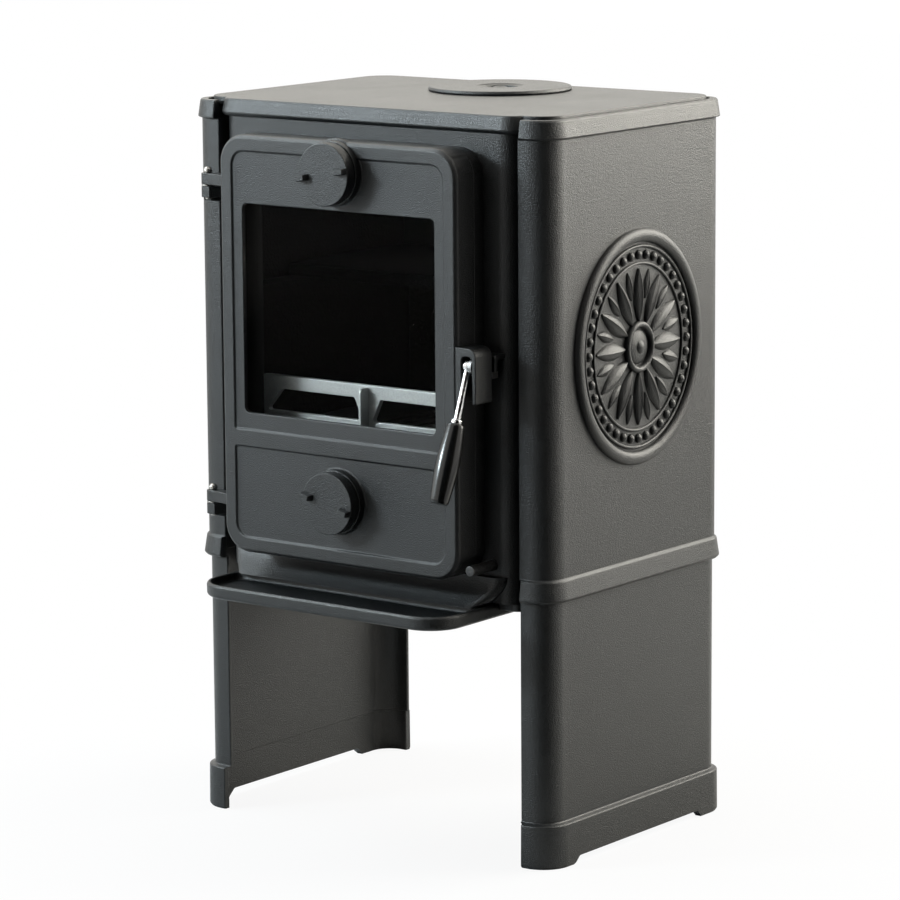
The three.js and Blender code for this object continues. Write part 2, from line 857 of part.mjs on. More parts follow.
// The front wall turns round both corners and runs a little way back along the sides.
function frontWall() {
  const centreX = bodyHalfWidth - bodyCorner;
  const inner = bodyCorner - bodyWall;
  const outline = [
    ...arc(-centreX, bodyCorner, bodyCorner, 180, 270),
    ...arc(centreX, bodyCorner, bodyCorner, 270, 360),
    ...arc(centreX, bodyCorner, inner, 0, -90),
    ...arc(-centreX, bodyCorner, inner, 270, 180),
  ];
  return extrudeZ(outline, bodyBottom, wallTop);
}

function mouthOutline(grow) {
  return roundedRect(
    -mouthHalfWidth - grow,
    mouthHalfWidth + grow,
    mouthBottom - grow,
    mouthTop + grow,
    mouthCorner + grow,
  );
}

// Below the collar the front wall sweeps forward in a hollow curve to the ash lip.
function apron() {
  const top = mouthBottom - collarWall - 1;
  const bottom = lipTop + seatGap;
  const steps = 5;
  const levels = [];
  for (let i = 0; i <= steps; i++) {
    const share = i / steps;
    const sweep = (1 - share) ** 2;
    const halfWidth = apronTopHalfWidth + (ridgeHalfWidth - apronTopHalfWidth) * sweep;
    const reach = apronTopReach + (ridgeReach - apronTopReach) * sweep;
    const back = bodyWall - 1;
    const outline = roundedRect(-halfWidth, halfWidth, -reach, back, apronCorner, 1);
    levels.push({ z: bottom + (top - bottom) * share, outline });
  }
  return loft(levels);
}

// An arm from the front wall or the door that ends in a round knuckle for the hinge pin.
function knuckleArm(root, z0, z1) {
  const outline = [
    ...arc(-hingeX, hingeY, knuckleRadius, 90, 270, 8),
    ...root,
  ];
  const pinHole = rodZ(-hingeX, hingeY, z0 - 1, z1 + 1, pinRadius + seatGap, 16);
  return cut(extrudeZ(outline, z0, z1), pinHole);
}

function bodyKnuckle(doorKnuckleZ) {
  const top = doorKnuckleZ - washerThickness - 2 * seatGap;
  const root = [
    new THREE.Vector2(-hingeX + knuckleRadius, hingeY - knuckleRadius),
    ...arc(-bodyHalfWidth + bodyCorner, bodyCorner, bodyCorner - bodyWall / 2, 270, 200),
  ];
  return knuckleArm(root, top - bodyKnuckleHeight, top);
}

// The keeper is a hooked lug behind which the latch's nose lies.
function keeper() {
  const lipBottom = leverPivotZ - keeperDrop;
  const top = lipBottom + keeperHeight;
  const outline = points(
    [bodyWall, top],
    [-keeperReach, top],
    [-keeperReach, lipBottom],
    [-keeperReach + keeperThickness, lipBottom],
    [-keeperReach + keeperThickness, top - keeperThickness],
    [bodyWall, top - keeperThickness],
  );
  return extrudeX(outline, leverX - keeperHalfWidth, leverX + keeperHalfWidth);
}

function frontCasting() {
  const solid = join(
    frontWall(),
    extrudeY(mouthOutline(collarWall), -collarDepth, 1),
    apron(),
    bodyKnuckle(upperKnuckleZ),
    bodyKnuckle(lowerKnuckleZ),
    keeper(),
  );
  return cut(
    solid,
    extrudeY(mouthOutline(0), -collarDepth - 1, bodyCorner + 1),
    rodY(armRadius, -ridgeReach, bodyCorner, riddlingRodZ, riddlingRodRadius + seatGap),
  );
}

add('front_casting', 'castIron', frontCasting());

// ---------------------------------------------------------------- firebox shell
const ledgeTop = grateTop - grateThickness - seatGap;

// The side wall has a ledge inside for the grate.
function fireboxSide() {
  const front = bodyCorner + seatGap;
  const back = bodyBack - bodyWall - seatGap;
  const inner = bodyHalfWidth - bodyWall;
  return join(
    block(inner, bodyHalfWidth, front, back, bodyBottom, wallTop),
    block(inner - grateLedgeWidth, inner + 1, front, back, ledgeTop - grateLedgeThickness, ledgeTop),
  );
}

function fireboxBack() {
  const front = bodyBack - bodyWall;
  const wall = block(-bodyHalfWidth, bodyHalfWidth, front, bodyBack, bodyBottom, wallTop);
  const boreRadius = flueRadius - spigotWall;
  const bolts = [-1, 1].map((side) => (
    rodY(side * spigotBoltX, front - 1, bodyBack + 1, spigotZ, boltRadius + seatGap, 16)
  ));
  return cut(wall, rodY(0, front - 1, bodyBack + 1, spigotZ, boreRadius, 32), ...bolts);
}

// The hearth casting is the floor of the ash pit and the ash lip in one piece.
function hearthPlate() {
  const lipBottom = lipTop - lipHeight;
  const ends = bodyBack - bodyWall;
  const rim = (inset, back, frontCorner, backCorner) => roundedRect(
    -lipHalfWidth + inset,
    lipHalfWidth - inset,
    -lipReach + inset,
    back,
    frontCorner,
    backCorner,
  );
  const level = (z, inset) => ({
    z,
    outline: rim(inset, ends - inset, lipCorner - inset, lipRearCorner - inset),
  });
  const tray = loft([
    level(lipBottom, edgeRound * 2),
    level(lipBottom + edgeRound * 2, 0),
    level(lipTop - edgeRound, 0),
    level(lipTop, edgeRound),
  ]);
  const trough = extrudeZ(
    rim(lipWall, -lipBack, lipCorner - lipWall, lipEarCorner),
    lipBottom + lipFloor,
    bodyBottom + 1,
  );
  const underside = block(
    -lipHalfWidth + lipFloor,
    lipHalfWidth - lipFloor,
    -lipBack + lipFloor,
    ends - lipFloor,
    lipBottom - 1,
    lipBottom + hollowDepth,
  );
  const slabTop = slabBottom + hearthSlab;
  const slab = extrudeZ(
    roundedRect(-bodyHalfWidth, bodyHalfWidth, bodyWall + seatGap, bodyBack, bodyCorner - bodyWall, 2),
    slabBottom,
    slabTop,
  );
  const runner = (x) => block(
    x - runnerWidth / 2,
    x + runnerWidth / 2,
    panSetback + runnerSetIn,
    panBack,
    slabTop - 1,
    panBottom - seatGap,
  );
  const guide = block(
    armRadius - guideWidth / 2,
    armRadius + guideWidth / 2,
    guideSetback,
    guideSetback + guideThickness,
    slabTop - 1,
    riddlingRodZ + guideWidth / 2,
  );
  const guideHole = rodY(
    armRadius,
    guideSetback - 1,
    guideSetback + guideThickness + 1,
    riddlingRodZ,
    riddlingRodRadius + seatGap,
  );
  const boltHoles = [-1, 1].map((side) => rodZ(
    side * bracketBoltX, spacerY, slabBottom - 1, slabTop + 1, boltRadius + seatGap, 16,
  ));
  const solid = join(
    cut(tray, trough, underside),
    slab,
    runner(-runnerX),
    runner(runnerX),
    guide,
  );
  return cut(solid, guideHole, ...boltHoles);
}

const rightWall = fireboxSide();
add('right_firebox_wall', 'castIron', rightWall);
add('left_firebox_wall', 'castIron', mirrored(rightWall));
add('firebox_back', 'castIron', fireboxBack());
add('hearth_plate', 'castIron', hearthPlate());

// ---------------------------------------------------------------- rear flue spigot
function flueSpigot() {
  const bore = flueRadius - spigotWall;
  const face = bodyBack + seatGap;
  const profile = [
    [bore, 0],
    [spigotFlangeRadius, 0],
    [spigotFlangeRadius, spigotFlangeThickness],
    [flueRadius, spigotFlangeThickness],
    [flueRadius, spigotReach],
    [bore, spigotReach],
    [bore, 0],
  ];
  const ring = turned(profile, 32).rotateX(-Math.PI / 2).translate(0, face, spigotZ);
  const bolts = [-1, 1].map((side) => rodY(
    side * spigotBoltX, face - 1, face + spigotFlangeThickness + 1, spigotZ, boltRadius + seatGap, 16,
  ));
  return cut(ring, ...bolts);
}

function spigotBolt() {
  const headFront = bodyBack + spigotFlangeThickness + 2 * seatGap;
  const tip = bodyBack - bodyWall - 2;
  return join(
    rodY(spigotBoltX, headFront, headFront + boltHeadHeight, spigotZ, boltHeadRadius, 6),
    rodY(spigotBoltX, tip, headFront + 1, spigotZ, boltRadius, 12),
  );
}

add('rear_flue_spigot', 'castIron', flueSpigot());
add('right_spigot_bolt', 'steel', spigotBolt());
add('left_spigot_bolt', 'steel', mirrored(spigotBolt()));

// ---------------------------------------------------------------- fire-room lining
const innerHalfWidth = bodyHalfWidth - bodyWall - seatGap;
const innerBack = bodyBack - bodyWall - seatGap;
const brickBottom = grateTop + seatGap;
const brickFront = bodyCorner;

function sideBrick() {
  return block(
    innerHalfWidth - brickThickness,
    innerHalfWidth,
    brickFront,
    innerBack - brickThickness - seatGap,
    brickBottom,
    brickTop,
  );
}

add('right_firebrick', 'firebrick', sideBrick());
add('left_firebrick', 'firebrick', mirrored(join(sideBrick())));
add('back_firebrick', 'firebrick', block(
  -innerHalfWidth, innerHalfWidth, innerBack - brickThickness, innerBack, brickBottom, brickTop,
));
add('baffle_plate', 'firebrick', block(
  -innerHalfWidth,
  innerHalfWidth,
  innerBack - baffleDepth,
  innerBack,
  brickTop + seatGap,
  brickTop + seatGap + baffleThickness,
));

// ---------------------------------------------------------------- grate and riddling gear
function grateFrame() {
  const bottom = grateTop - grateThickness;
  const front = bodyWall + seatGap;
  const centreX = bodyHalfWidth - bodyCorner;
  const frontCorner = bodyCorner - bodyWall - seatGap;
  const outline = [
    ...arc(-centreX, front + frontCorner, frontCorner, 180, 270),
    ...arc(centreX, front + frontCorner, frontCorner, 270, 360),
    new THREE.Vector2(innerHalfWidth, innerBack),
    new THREE.Vector2(-innerHalfWidth, innerBack),
  ];
  const opening = circle(0, riddlerCentreY, riddlerRadius, 32);
  const throat = circle(0, riddlerCentreY, riddlerRadius - ledgeWidth, 32);
  return join(
    extrudeZ(outline, bottom + ledgeThickness, grateTop, [opening]),
    extrudeZ(outline, bottom, bottom + ledgeThickness, [throat]),
  );
}

// The round grate turns in the frame and is pulled round by an arm beneath it.
function riddlingGrate() {
  const bottom = grateTop - grateThickness + ledgeThickness + seatGap;
  const radius = riddlerRadius - riddlerClearance;
  const disc = rodZ(0, riddlerCentreY, bottom, grateTop, radius, 32);
  const slots = [];
  const reach = Math.floor((radius - slotWidth) / slotPitch);
  for (let i = -reach; i <= reach; i++) {
    const x = i * slotPitch;
    const half = Math.sqrt((radius - slotWidth) ** 2 - x ** 2);
    const centre = riddlerCentreY;
    if (i === 0) continue;
    slots.push(block(
      x - slotWidth / 2, x + slotWidth / 2, centre - half, centre + half, bottom - 1, grateTop + 1,
    ));
  }
  const armTop = grateTop - armDrop;
  const arm = block(
    0,
    armRadius + armWidth / 2 + slotRun,
    riddlerCentreY - armWidth / 2,
    riddlerCentreY + armWidth / 2,
    armTop - armThickness,
    armTop,
  );
  const half = riddlingPinRadius + seatGap * 2;
  const armSlot = block(
    armRadius - half,
    armRadius + half + slotRun,
    riddlerCentreY - half,
    riddlerCentreY + half,
    armTop - armThickness - 1,
    armTop + 1,
  );
  const hub = rodZ(0, riddlerCentreY, armTop - armThickness, bottom + 1, hubRadius, 16);
  return join(cut(disc, ...slots), hub, cut(arm, armSlot));
}

// The riddling rod runs back beside the ash pan and turns up into the arm's slot.
function riddlingRod() {
  const armBottom = grateTop - armDrop - armThickness;
  return join(
    rodY(armRadius, -riddlingRodReach, riddlerCentreY, riddlingRodZ, riddlingRodRadius, 16),
    rodZ(armRadius, riddlerCentreY, riddlingRodZ, armBottom - seatGap, riddlingRodRadius, 16),
    rodZ(armRadius, riddlerCentreY, riddlingRodZ, armBottom + armThickness + 2, riddlingPinRadius, 16),
  );
}

add('grate_frame', 'grateIron', grateFrame());
add('riddling_grate', 'grateIron', riddlingGrate());
add('riddling_rod', 'steel', riddlingRod());

// The log guard stands on the front of the grate frame, behind the glass.
function logGuard() {
  const back = guardSetback + guardThickness;
  const foot = grateTop + seatGap;
  const slot = points(
    [guardSlotInner, guardSlotTop],
    [guardSlotOuter, guardSlotTop],
    [guardSlotOuter + guardSlotSplayOuter, guardSlotBottom],
    [guardSlotInner - guardSlotSplayInner, guardSlotBottom],
  );
  const opening = join(extrudeY(slot, guardSetback - 1, back + 1));
  const outline = roundedRect(
    -guardHalfWidth, guardHalfWidth, foot, guardTop, edgeRound, guardTopCorner,
  );
  const plate = cut(extrudeY(outline, guardSetback, back), opening, mirrored(opening));
  const toe = block(-guardHalfWidth, guardHalfWidth, back - 1, back + guardToe, foot, foot + guardFoot);
  const fin = block(
    -guardFinWidth / 2,
    guardFinWidth / 2,
    guardSetback - guardFinReach,
    guardSetback + 1,
    foot + edgeRound * 2,
    guardTop - edgeRound * 2,
  );
  return join(plate, toe, fin);
}

add('log_guard', 'grateIron', logGuard());

// ---------------------------------------------------------------- ash pan
function ashPan() {
  const outer = roundedRect(-panHalfWidth, panHalfWidth, panSetback, panBack, panCorner);
  const inner = roundedRect(
    -panHalfWidth + panWall,
    panHalfWidth - panWall,
    panSetback + panWall,
    panBack - panWall,
    panCorner - panWall,
  );
  const shell = extrudeZ(outer, panBottom, panBottom + panHeight);
  const room = extrudeZ(inner, panBottom + panWall, panBottom + panHeight + 1);
  const pullZ = panBottom + panHeight / 2;
  const out = panSetback - pullReach;
  const pull = join(
    rodX(-pullHalfWidth, pullHalfWidth, out, pullZ, pullRadius, 10),
    rodY(-pullHalfWidth + pullRadius, out, panSetback + 1, pullZ, pullRadius * 0.9, 10),
    rodY(pullHalfWidth - pullRadius, out, panSetback + 1, pullZ, pullRadius * 0.9, 10),
  );
  return join(cut(shell, room), pull);
}

add('ash_pan', 'pan', ashPan());

// ---------------------------------------------------------------- door
const doorFaceY = -doorReach;
const doorFaceBack = doorFaceY + doorFace;
const doorBack = -collarDepth - doorGap;
const fieldY = doorFaceY + fieldDepth;
const hubBackY = doorFaceBack + valveHubBack;
const glassFront = doorFaceBack + glassSealThickness + 2 * seatGap;
const glassBack = glassFront + glassThickness;

function doorOutline(inset) {
  return roundedRect(
    -doorHalfWidth + inset, doorHalfWidth - inset, doorBottom + inset, doorTop - inset, doorCorner - inset,
  );
}

function windowOutline(grow) {
  return roundedRect(
    -windowHalfWidth - grow,
    windowHalfWidth + grow,
    windowBottom - grow,
    windowTop + grow,
    windowCorner + Math.max(grow, 0) * 0.3,
  );
}

// A seat on the door's face with a hub in its middle for the stud of the air valve.
function valveSeat(z) {
  const front = fieldY - valveSeatHeight;
  return [
    rodY(0, front, doorFaceY + doorFace, z, valveSeatRadius, 32),
    rodY(0, front, hubBackY, z, valveHubRadius, 16),
  ];
}

function valveSeatCuts(z) {
  const front = fieldY - valveSeatHeight - 1;
  const hollow = extrudeY(
    circle(0, z, valveSeatRadius - valveSeatWall, 32), front, fieldY, [circle(0, z, valveHubRadius, 16)],
  );
  const holes = [];
  const middle = (valveSeatRadius - valveSeatWall + valveHubRadius) / 2;
  for (let i = 0; i < airHoleCount; i++) {
    const angle = (2 * Math.PI * i) / airHoleCount;
    const [x, dz] = [middle * Math.cos(angle), middle * Math.sin(angle)];
    holes.push(rodY(x, fieldY - 1, doorFaceBack + 1, z + dz, airHoleRadius, 10));
  }
  const stud = rodY(0, front, hubBackY + 1, z, valveStudRadius + seatGap, 16);
  return [hollow, ...holes, stud];
}

function doorKnuckle(z) {
  const root = points(
    [-hingeX + knuckleRadius, hingeY - knuckleRadius],
    [-doorHalfWidth + 2, doorBack - knuckleRadius * 2],
    [-doorHalfWidth + 2, doorBack - 1],
    [-hingeX + knuckleRadius, hingeY + knuckleRadius],
  );
  return knuckleArm(root, z, z + knuckleHeight);
}

// Two cheeks and a lintel on the door's right edge hold the pivot of the latch.
function latchHousing() {
  const back = doorFaceY + latchDepth;
  const outline = [
    ...points([doorHalfWidth - 2, latchBottom], [latchOuter, latchBottom]),
    ...arc(latchOuter - latchCorner, latchTop - latchCorner, latchCorner, 0, 90),
    ...points([doorHalfWidth - 2, latchTop]),
  ];
  const slotLeft = doorHalfWidth + latchInnerCheek;
  const slotRight = latchOuter - latchCheek;
  const slotTop = latchTop - latchLintel;
  const slot = [
    ...points([slotLeft, latchBottom - 1], [slotRight, latchBottom - 1]),
    ...arc(slotRight - 3, slotTop - 3, 3, 0, 90, 3),
    ...arc(slotLeft + 3, slotTop - 3, 3, 90, 180, 3),
  ];
  const body = extrudeY(outline, doorFaceY, back);
  return cut(body, extrudeY(slot, doorFaceY - 1, back + 1));
}

function glassBoss(x, z) {
  return rodY(x, doorFaceBack - 1, glassBack, z, retainerBossRadius, 12);
}

const retainerZ = {
  top: windowTop + glassLap + retainerBossRadius + 1,
  bottom: windowBottom - glassLap - retainerBossRadius - 1,
};

function doorCasting() {
  const fieldTop = roundedRect(
    -fieldHalfWidth, fieldHalfWidth, upperFieldBottom, upperFieldTop, fieldSmallCorner, fieldCorner,
  );
  const fieldLow = roundedRect(
    -fieldHalfWidth, fieldHalfWidth, lowerFieldBottom, lowerFieldTop, fieldCorner, fieldSmallCorner,
  );
  const bosses = Object.values(retainerZ).flatMap((z) => (
    [glassBoss(-retainerScrewX, z), glassBoss(retainerScrewX, z)]
  ));
  const screwHoles = Object.values(retainerZ).flatMap((z) => [-1, 1].map((side) => rodY(
    side * retainerScrewX, glassBack - screwLength, glassBack + 1, z, screwRadius + seatGap, 12,
  )));
  const rebate = extrudeY(
    doorOutline(doorSkirt / 2 - ropeGroove / 2),
    doorBack - ropeWidth,
    doorBack + 1,
    [doorOutline(doorSkirt / 2 + ropeGroove / 2)],
  );
  const blank = cut(
    extrudeY(doorOutline(0), doorFaceY, doorBack),
    extrudeY(doorOutline(doorSkirt), doorFaceBack, doorBack + 1),
    extrudeY(fieldTop, doorFaceY - 1, fieldY),
    extrudeY(fieldLow, doorFaceY - 1, fieldY),
    extrudeY(windowOutline(0), doorFaceY - 1, doorFaceBack + 1),
    rebate,
  );
  const solid = join(
    blank,
    ...valveSeat(upperValveZ),
    ...valveSeat(lowerValveZ),
    doorKnuckle(upperKnuckleZ),
    doorKnuckle(lowerKnuckleZ),
    latchHousing(),
    ...bosses,
  );
  const pivotHole = rodX(
    doorHalfWidth - latchPinBite, latchOuter + 1, leverPivotY, leverPivotZ, latchPinRadius + seatGap, 16,
  );
  return cut(
    solid,
    ...valveSeatCuts(upperValveZ),
    ...valveSeatCuts(lowerValveZ),
    ...screwHoles,
    pivotHole,
  );
}

add('door_casting', 'castIron', doorCasting());

// The rope seal lies in the rebate round the door's rim and meets the collar.
function doorSeal() {
  const middle = doorSkirt / 2;
  return extrudeY(
    doorOutline(middle - ropeWidth / 2),
    doorBack - ropeWidth + seatGap,
    -collarDepth - seatGap,
    [doorOutline(middle + ropeWidth / 2)],
  );
}

function glassSeal() {
  return extrudeY(
    windowOutline(glassLap - glassSealInset),
    doorFaceBack + seatGap,
    doorFaceBack + seatGap + glassSealThickness,
    [windowOutline(glassLap - glassSealInset - glassSealWidth)],
  );
}

add('door_seal', 'rope', doorSeal());
add('glass_seal', 'rope', glassSeal());
add('door_glass', 'glass', extrudeY(windowOutline(glassLap), glassFront, glassBack));

// A flat strip with a screw near each end holds an edge of the glass.
function retainer(z) {
  const half = retainerWidth / 2;
  const front = glassBack + seatGap;
  const holes = [-1, 1].map((side) => circle(side * retainerScrewX, z, screwRadius + seatGap, 12));
  return extrudeY(
    roundedRect(-retainerHalfLength, retainerHalfLength, z - half, z + half, 3),
    front,
    front + retainerThickness,
    holes,
  );
}

function retainerScrew(x, z) {
  const headFront = glassBack + retainerThickness + 2 * seatGap;
  return join(
    rodY(x, headFront, headFront + screwHeadHeight, z, screwHeadRadius, 12),
    rodY(x, glassBack - screwLength + 1, headFront + 1, z, screwRadius, 10),
  );
}

for (const [edge, z] of Object.entries(retainerZ)) {
  add(`glass_retainer_${edge}`, 'steel', retainer(z));
  add(`retainer_screw_${edge}_right`, 'steel', retainerScrew(retainerScrewX, z));
  add(`retainer_screw_${edge}_left`, 'steel', retainerScrew(-retainerScrewX, z));
}

// ---------------------------------------------------------------- hinge pins
function hingePin(doorKnuckleZ) {
  const bodyKnuckleBottom = doorKnuckleZ - washerThickness - 2 * seatGap - bodyKnuckleHeight;
  const headBottom = doorKnuckleZ + knuckleHeight + seatGap;
  const profile = [
    [0, bodyKnuckleBottom - pinTail],
    [pinRadius, bodyKnuckleBottom - pinTail],
    [pinRadius, headBottom],
    [pinHeadRadius, headBottom],
    [pinHeadRadius, headBottom + pinHeadHeight * 0.45],
    [pinHeadRadius * 0.7, headBottom + pinHeadHeight * 0.85],
    [0, headBottom + pinHeadHeight],
  ];
  return turned(profile, 16).translate(-hingeX, hingeY, 0);
}

function hingeWasher(doorKnuckleZ) {
  const top = doorKnuckleZ - seatGap;
  const hole = circle(-hingeX, hingeY, pinRadius + seatGap, 16);
  return extrudeZ(
    circle(-hingeX, hingeY, knuckleRadius, 20), top - washerThickness, top, [hole],
  );
}

for (const [height, z] of Object.entries({ upper: upperKnuckleZ, lower: lowerKnuckleZ })) {
  add(`${height}_hinge_pin`, 'chrome', hingePin(z));
  add(`${height}_hinge_washer`, 'chrome', hingeWasher(z));
}

// ---------------------------------------------------------------- air valves
const valveFrontY = doorFaceY - valveReach;
const valveBackY = valveFrontY + valveThickness;
const socketDepth = valveThickness - valveSkin;

// The disc has two finger ribs near its rim and a blind socket for the stud behind.
function valveDisc(z, turn) {
  const profile = [
    [0, 0],
    [valveRadius - edgeRound, 0],
    [valveRadius, edgeRound],
    [valveRadius, valveThickness - edgeRound],
    [valveRadius - edgeRound, valveThickness],
    [0, valveThickness],
  ];
  const disc = turned(profile, 36).rotateX(-Math.PI / 2);
  const rib = (side) => {
    const outer = valveRadius - 1;
    const outline = points(
      [outer * side, 1],
      [outer * side, -ribHeight],
      [(outer - ribLength * 0.3) * side, -ribHeight],
      [(outer - ribLength) * side, 1],
    );
    return extrudeZ(outline, -ribWidth / 2, ribWidth / 2);
  };
  const whole = join(disc, rib(1), rib(-1));
  const socket = rodY(0, valveThickness - socketDepth, valveThickness + 1, 0, valveStudRadius + seatGap, 16);
  return cut(whole, socket)
    .rotateY(-toRadians(turn))
    .translate(0, valveFrontY, z);
}

function valveStud(z) {
  const front = valveBackY - socketDepth + seatGap;
  return rodY(0, front, hubBackY + valveStudBack, z, valveStudRadius, 16);
}

add('upper_valve_disc', 'castIron', valveDisc(upperValveZ, upperValveTurn));
add('upper_valve_stud', 'steel', valveStud(upperValveZ));
add('lower_valve_disc', 'castIron', valveDisc(lowerValveZ, lowerValveTurn));
add('lower_valve_stud', 'steel', valveStud(lowerValveZ));

// ---------------------------------------------------------------- latch and handle
// The handle's parts are turned on their own axis, which hangs down from the pivot.
function hang(geometry) {
  return geometry
    .rotateX(toRadians(-handleLean))
    .translate(handleX, leverPivotY, leverPivotZ);
}

function pivotBore(fromX, toX) {
  return rodX(fromX, toX, leverPivotY, leverPivotZ, latchPinRadius + seatGap, 16);
}

// The lever's nose runs back under the keeper, whose lip it lies behind when shut.
function latchLever() {
  const left = leverX - leverThickness / 2;
  const right = leverX + leverThickness / 2;
  const noseTop = -keeperDrop - keeperGap;
  const outline = points(
    [0, leverBossRadius * 0.8],
    [-leverBossRadius * 0.6, -leverBossRadius * 0.5],
    [noseReach * 0.45, noseTop - noseHeight],
    [noseReach, noseTop - noseHeight],
    [noseReach, noseTop],
    [noseReach * 0.6, noseTop],
    [leverBossRadius, 0],
  );
  const nose = extrudeX(outline, left, right).translate(0, leverPivotY, leverPivotZ);
  const boss = rodX(left, right, leverPivotY, leverPivotZ, leverBossRadius, 20);
  return cut(join(boss, nose), pivotBore(left - 1, right + 1));
}

function pivotPin() {
  const start = doorHalfWidth - latchPinBite + seatGap;
  const end = latchOuter - seatGap;
  return rodX(start, end, leverPivotY, leverPivotZ, latchPinRadius, 16);
}

// The bright rod ends in a flattened ball that turns on the pivot pin.
function handleRod() {
  const tip = rodLength + ferruleLength + rodBite;
  const rod = hang(rodZ(0, 0, -tip, -ballRadius + 1, rodRadius, 16));
  const ball = new THREE.SphereGeometry(ballRadius, 20, 12)
    .translate(handleX, leverPivotY, leverPivotZ);
  const keep = block(
    handleX - ballWidth / 2,
    handleX + ballWidth / 2,
    leverPivotY - ballRadius,
    leverPivotY + ballRadius,
    leverPivotZ - ballRadius,
    leverPivotZ + ballRadius,
  );
  const sides = toGeometry(toSolid(ball).intersect(toSolid(keep)));
  return cut(join(sides, rod), pivotBore(handleX - ballRadius, handleX + ballRadius));
}

function handleFerrule() {
  const top = -rodLength;
  const bottom = top - ferruleLength;
  const bore = rodRadius + seatGap;
  const profile = [
    [bore, bottom],
    [ferruleRadius, bottom],
    [ferruleRadius, top - edgeRound],
    [ferruleRadius - edgeRound, top],
    [bore, top],
    [bore, bottom],
  ];
  return hang(turned(profile, 20));
}

// The grip is a plain barrel, slightly waisted at the top and rounded at the foot.
function handleGrip() {
  const top = -rodLength - ferruleLength - seatGap;
  const bottom = top - gripLength;
  const bore = rodRadius + seatGap;
  const boreEnd = -rodLength - ferruleLength - rodBite - seatGap * 2;
  const along = (share) => bottom + gripLength * share;
  const profile = [
    [0, bottom],
    [gripEndRadius - gripRound, bottom],
    [gripEndRadius, bottom + gripRound],
    [gripBellyRadius - 0.8, along(0.25)],
    [gripBellyRadius, along(0.48)],
    [gripBellyRadius - 0.9, along(0.72)],
    [gripNeckRadius, top - gripRound],
    [gripNeckRadius - gripRound * 0.6, top],
    [bore, top],
    [bore, boreEnd],
    [0, boreEnd],
  ];
  return hang(turned(profile, 28));
}

add('latch_pivot_pin', 'chrome', pivotPin());
add('latch_lever', 'steel', latchLever());
add('handle_rod', 'chrome', handleRod());
add('handle_ferrule', 'chrome', handleFerrule());
add('handle_grip', 'bakelite', handleGrip());

// The middle of the footprint becomes the origin.
const reach = new THREE.Box3().setFromObject(stove);
const middleY = (reach.min.y + reach.max.y) / 2;
for (const mesh of stove.children) mesh.geometry.translate(0, -middleY, 0);

export default stove;
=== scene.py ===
import json
import math

import bmesh
import bpy
from mathutils import Matrix, Vector


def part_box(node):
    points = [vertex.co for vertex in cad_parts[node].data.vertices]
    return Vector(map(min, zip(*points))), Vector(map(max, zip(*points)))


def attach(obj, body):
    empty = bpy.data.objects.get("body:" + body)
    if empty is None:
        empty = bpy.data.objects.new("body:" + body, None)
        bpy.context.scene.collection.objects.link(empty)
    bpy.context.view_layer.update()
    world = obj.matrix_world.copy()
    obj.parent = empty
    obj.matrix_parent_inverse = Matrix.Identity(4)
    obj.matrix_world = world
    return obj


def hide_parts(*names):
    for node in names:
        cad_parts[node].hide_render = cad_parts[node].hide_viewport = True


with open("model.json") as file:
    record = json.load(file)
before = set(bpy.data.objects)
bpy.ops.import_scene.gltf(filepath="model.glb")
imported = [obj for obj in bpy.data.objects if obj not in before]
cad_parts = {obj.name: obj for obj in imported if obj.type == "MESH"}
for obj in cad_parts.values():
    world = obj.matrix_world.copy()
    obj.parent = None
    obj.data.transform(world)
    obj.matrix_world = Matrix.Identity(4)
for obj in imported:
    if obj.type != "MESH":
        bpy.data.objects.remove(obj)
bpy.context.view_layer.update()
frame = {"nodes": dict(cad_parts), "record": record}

# ---------------------------------------------------------------- side panels
# Two channel-shaped iron castings stand off the firebox on distance pieces. Each has a
# band at its foot, a rail at its top and a traditional oval ornament cast on its outside.
# They were cast in sand and sprayed with a matt dark grey stove paint.
PANEL_FACE = 215.0        # middle of the stove to the outside of a panel
PANEL_DEPTH = 296.0
PANEL_WALL = 6.0
PANEL_CORNER = 26.0
FLANGE_EDGE = 180.0       # middle of the stove to the free edge of a flange
BAND_PROUD = 5.0


def heights(solid):
    """Lowest and highest point of a solid, in millimetres."""
    return [corner.z * 1000 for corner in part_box(solid)]


PANEL_LOW, PANEL_HIGH = heights("right_side_panel")
front_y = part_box("right_side_panel")[0].y * 1000 + BAND_PROUD  # front face of the panels
collection = bpy.context.scene.collection


def scene_object(name, data):
    obj = bpy.data.objects.new(name, data)
    collection.objects.link(obj)
    return obj


def to_metres(x, y, z):
    """Sizes are in millimetres, with y counted back from the front face of the panels."""
    return (x / 1000, (y + front_y) / 1000, z / 1000)


def mesh_object(name, verts, faces, placed=True):
    """A mesh of its own; when it's placed, its points are millimetres in the stove."""
    mesh = bpy.data.meshes.new(name)
    mesh.from_pydata([to_metres(*v) for v in verts] if placed else verts, [], faces)
    return scene_object(name, mesh)


def rounded(corners, steps=6):
    """A closed outline from corners given as (across, up, radius)."""
    outline = []
    for i, (x, y, radius) in enumerate(corners):
        corner = Vector((x, y))
        if radius <= 0:
            outline.append((x, y))
            continue
        before = (Vector(corners[i - 1][:2]) - corner).normalized()
        after = (Vector(corners[(i + 1) % len(corners)][:2]) - corner).normalized()
        half = before.angle(after) / 2
        centre = corner + (before + after).normalized() * (radius / math.sin(half))
        run = radius / math.tan(half)
        start, end = corner + before * run - centre, corner + after * run - centre
        first = math.atan2(start.y, start.x)
        sweep = (math.atan2(end.y, end.x) - first + math.pi) % (2 * math.pi) - math.pi
        for k in range(steps + 1):
            angle = first + sweep * k / steps
            outline.append((centre.x + radius * math.cos(angle), centre.y + radius * math.sin(angle)))
    return outline


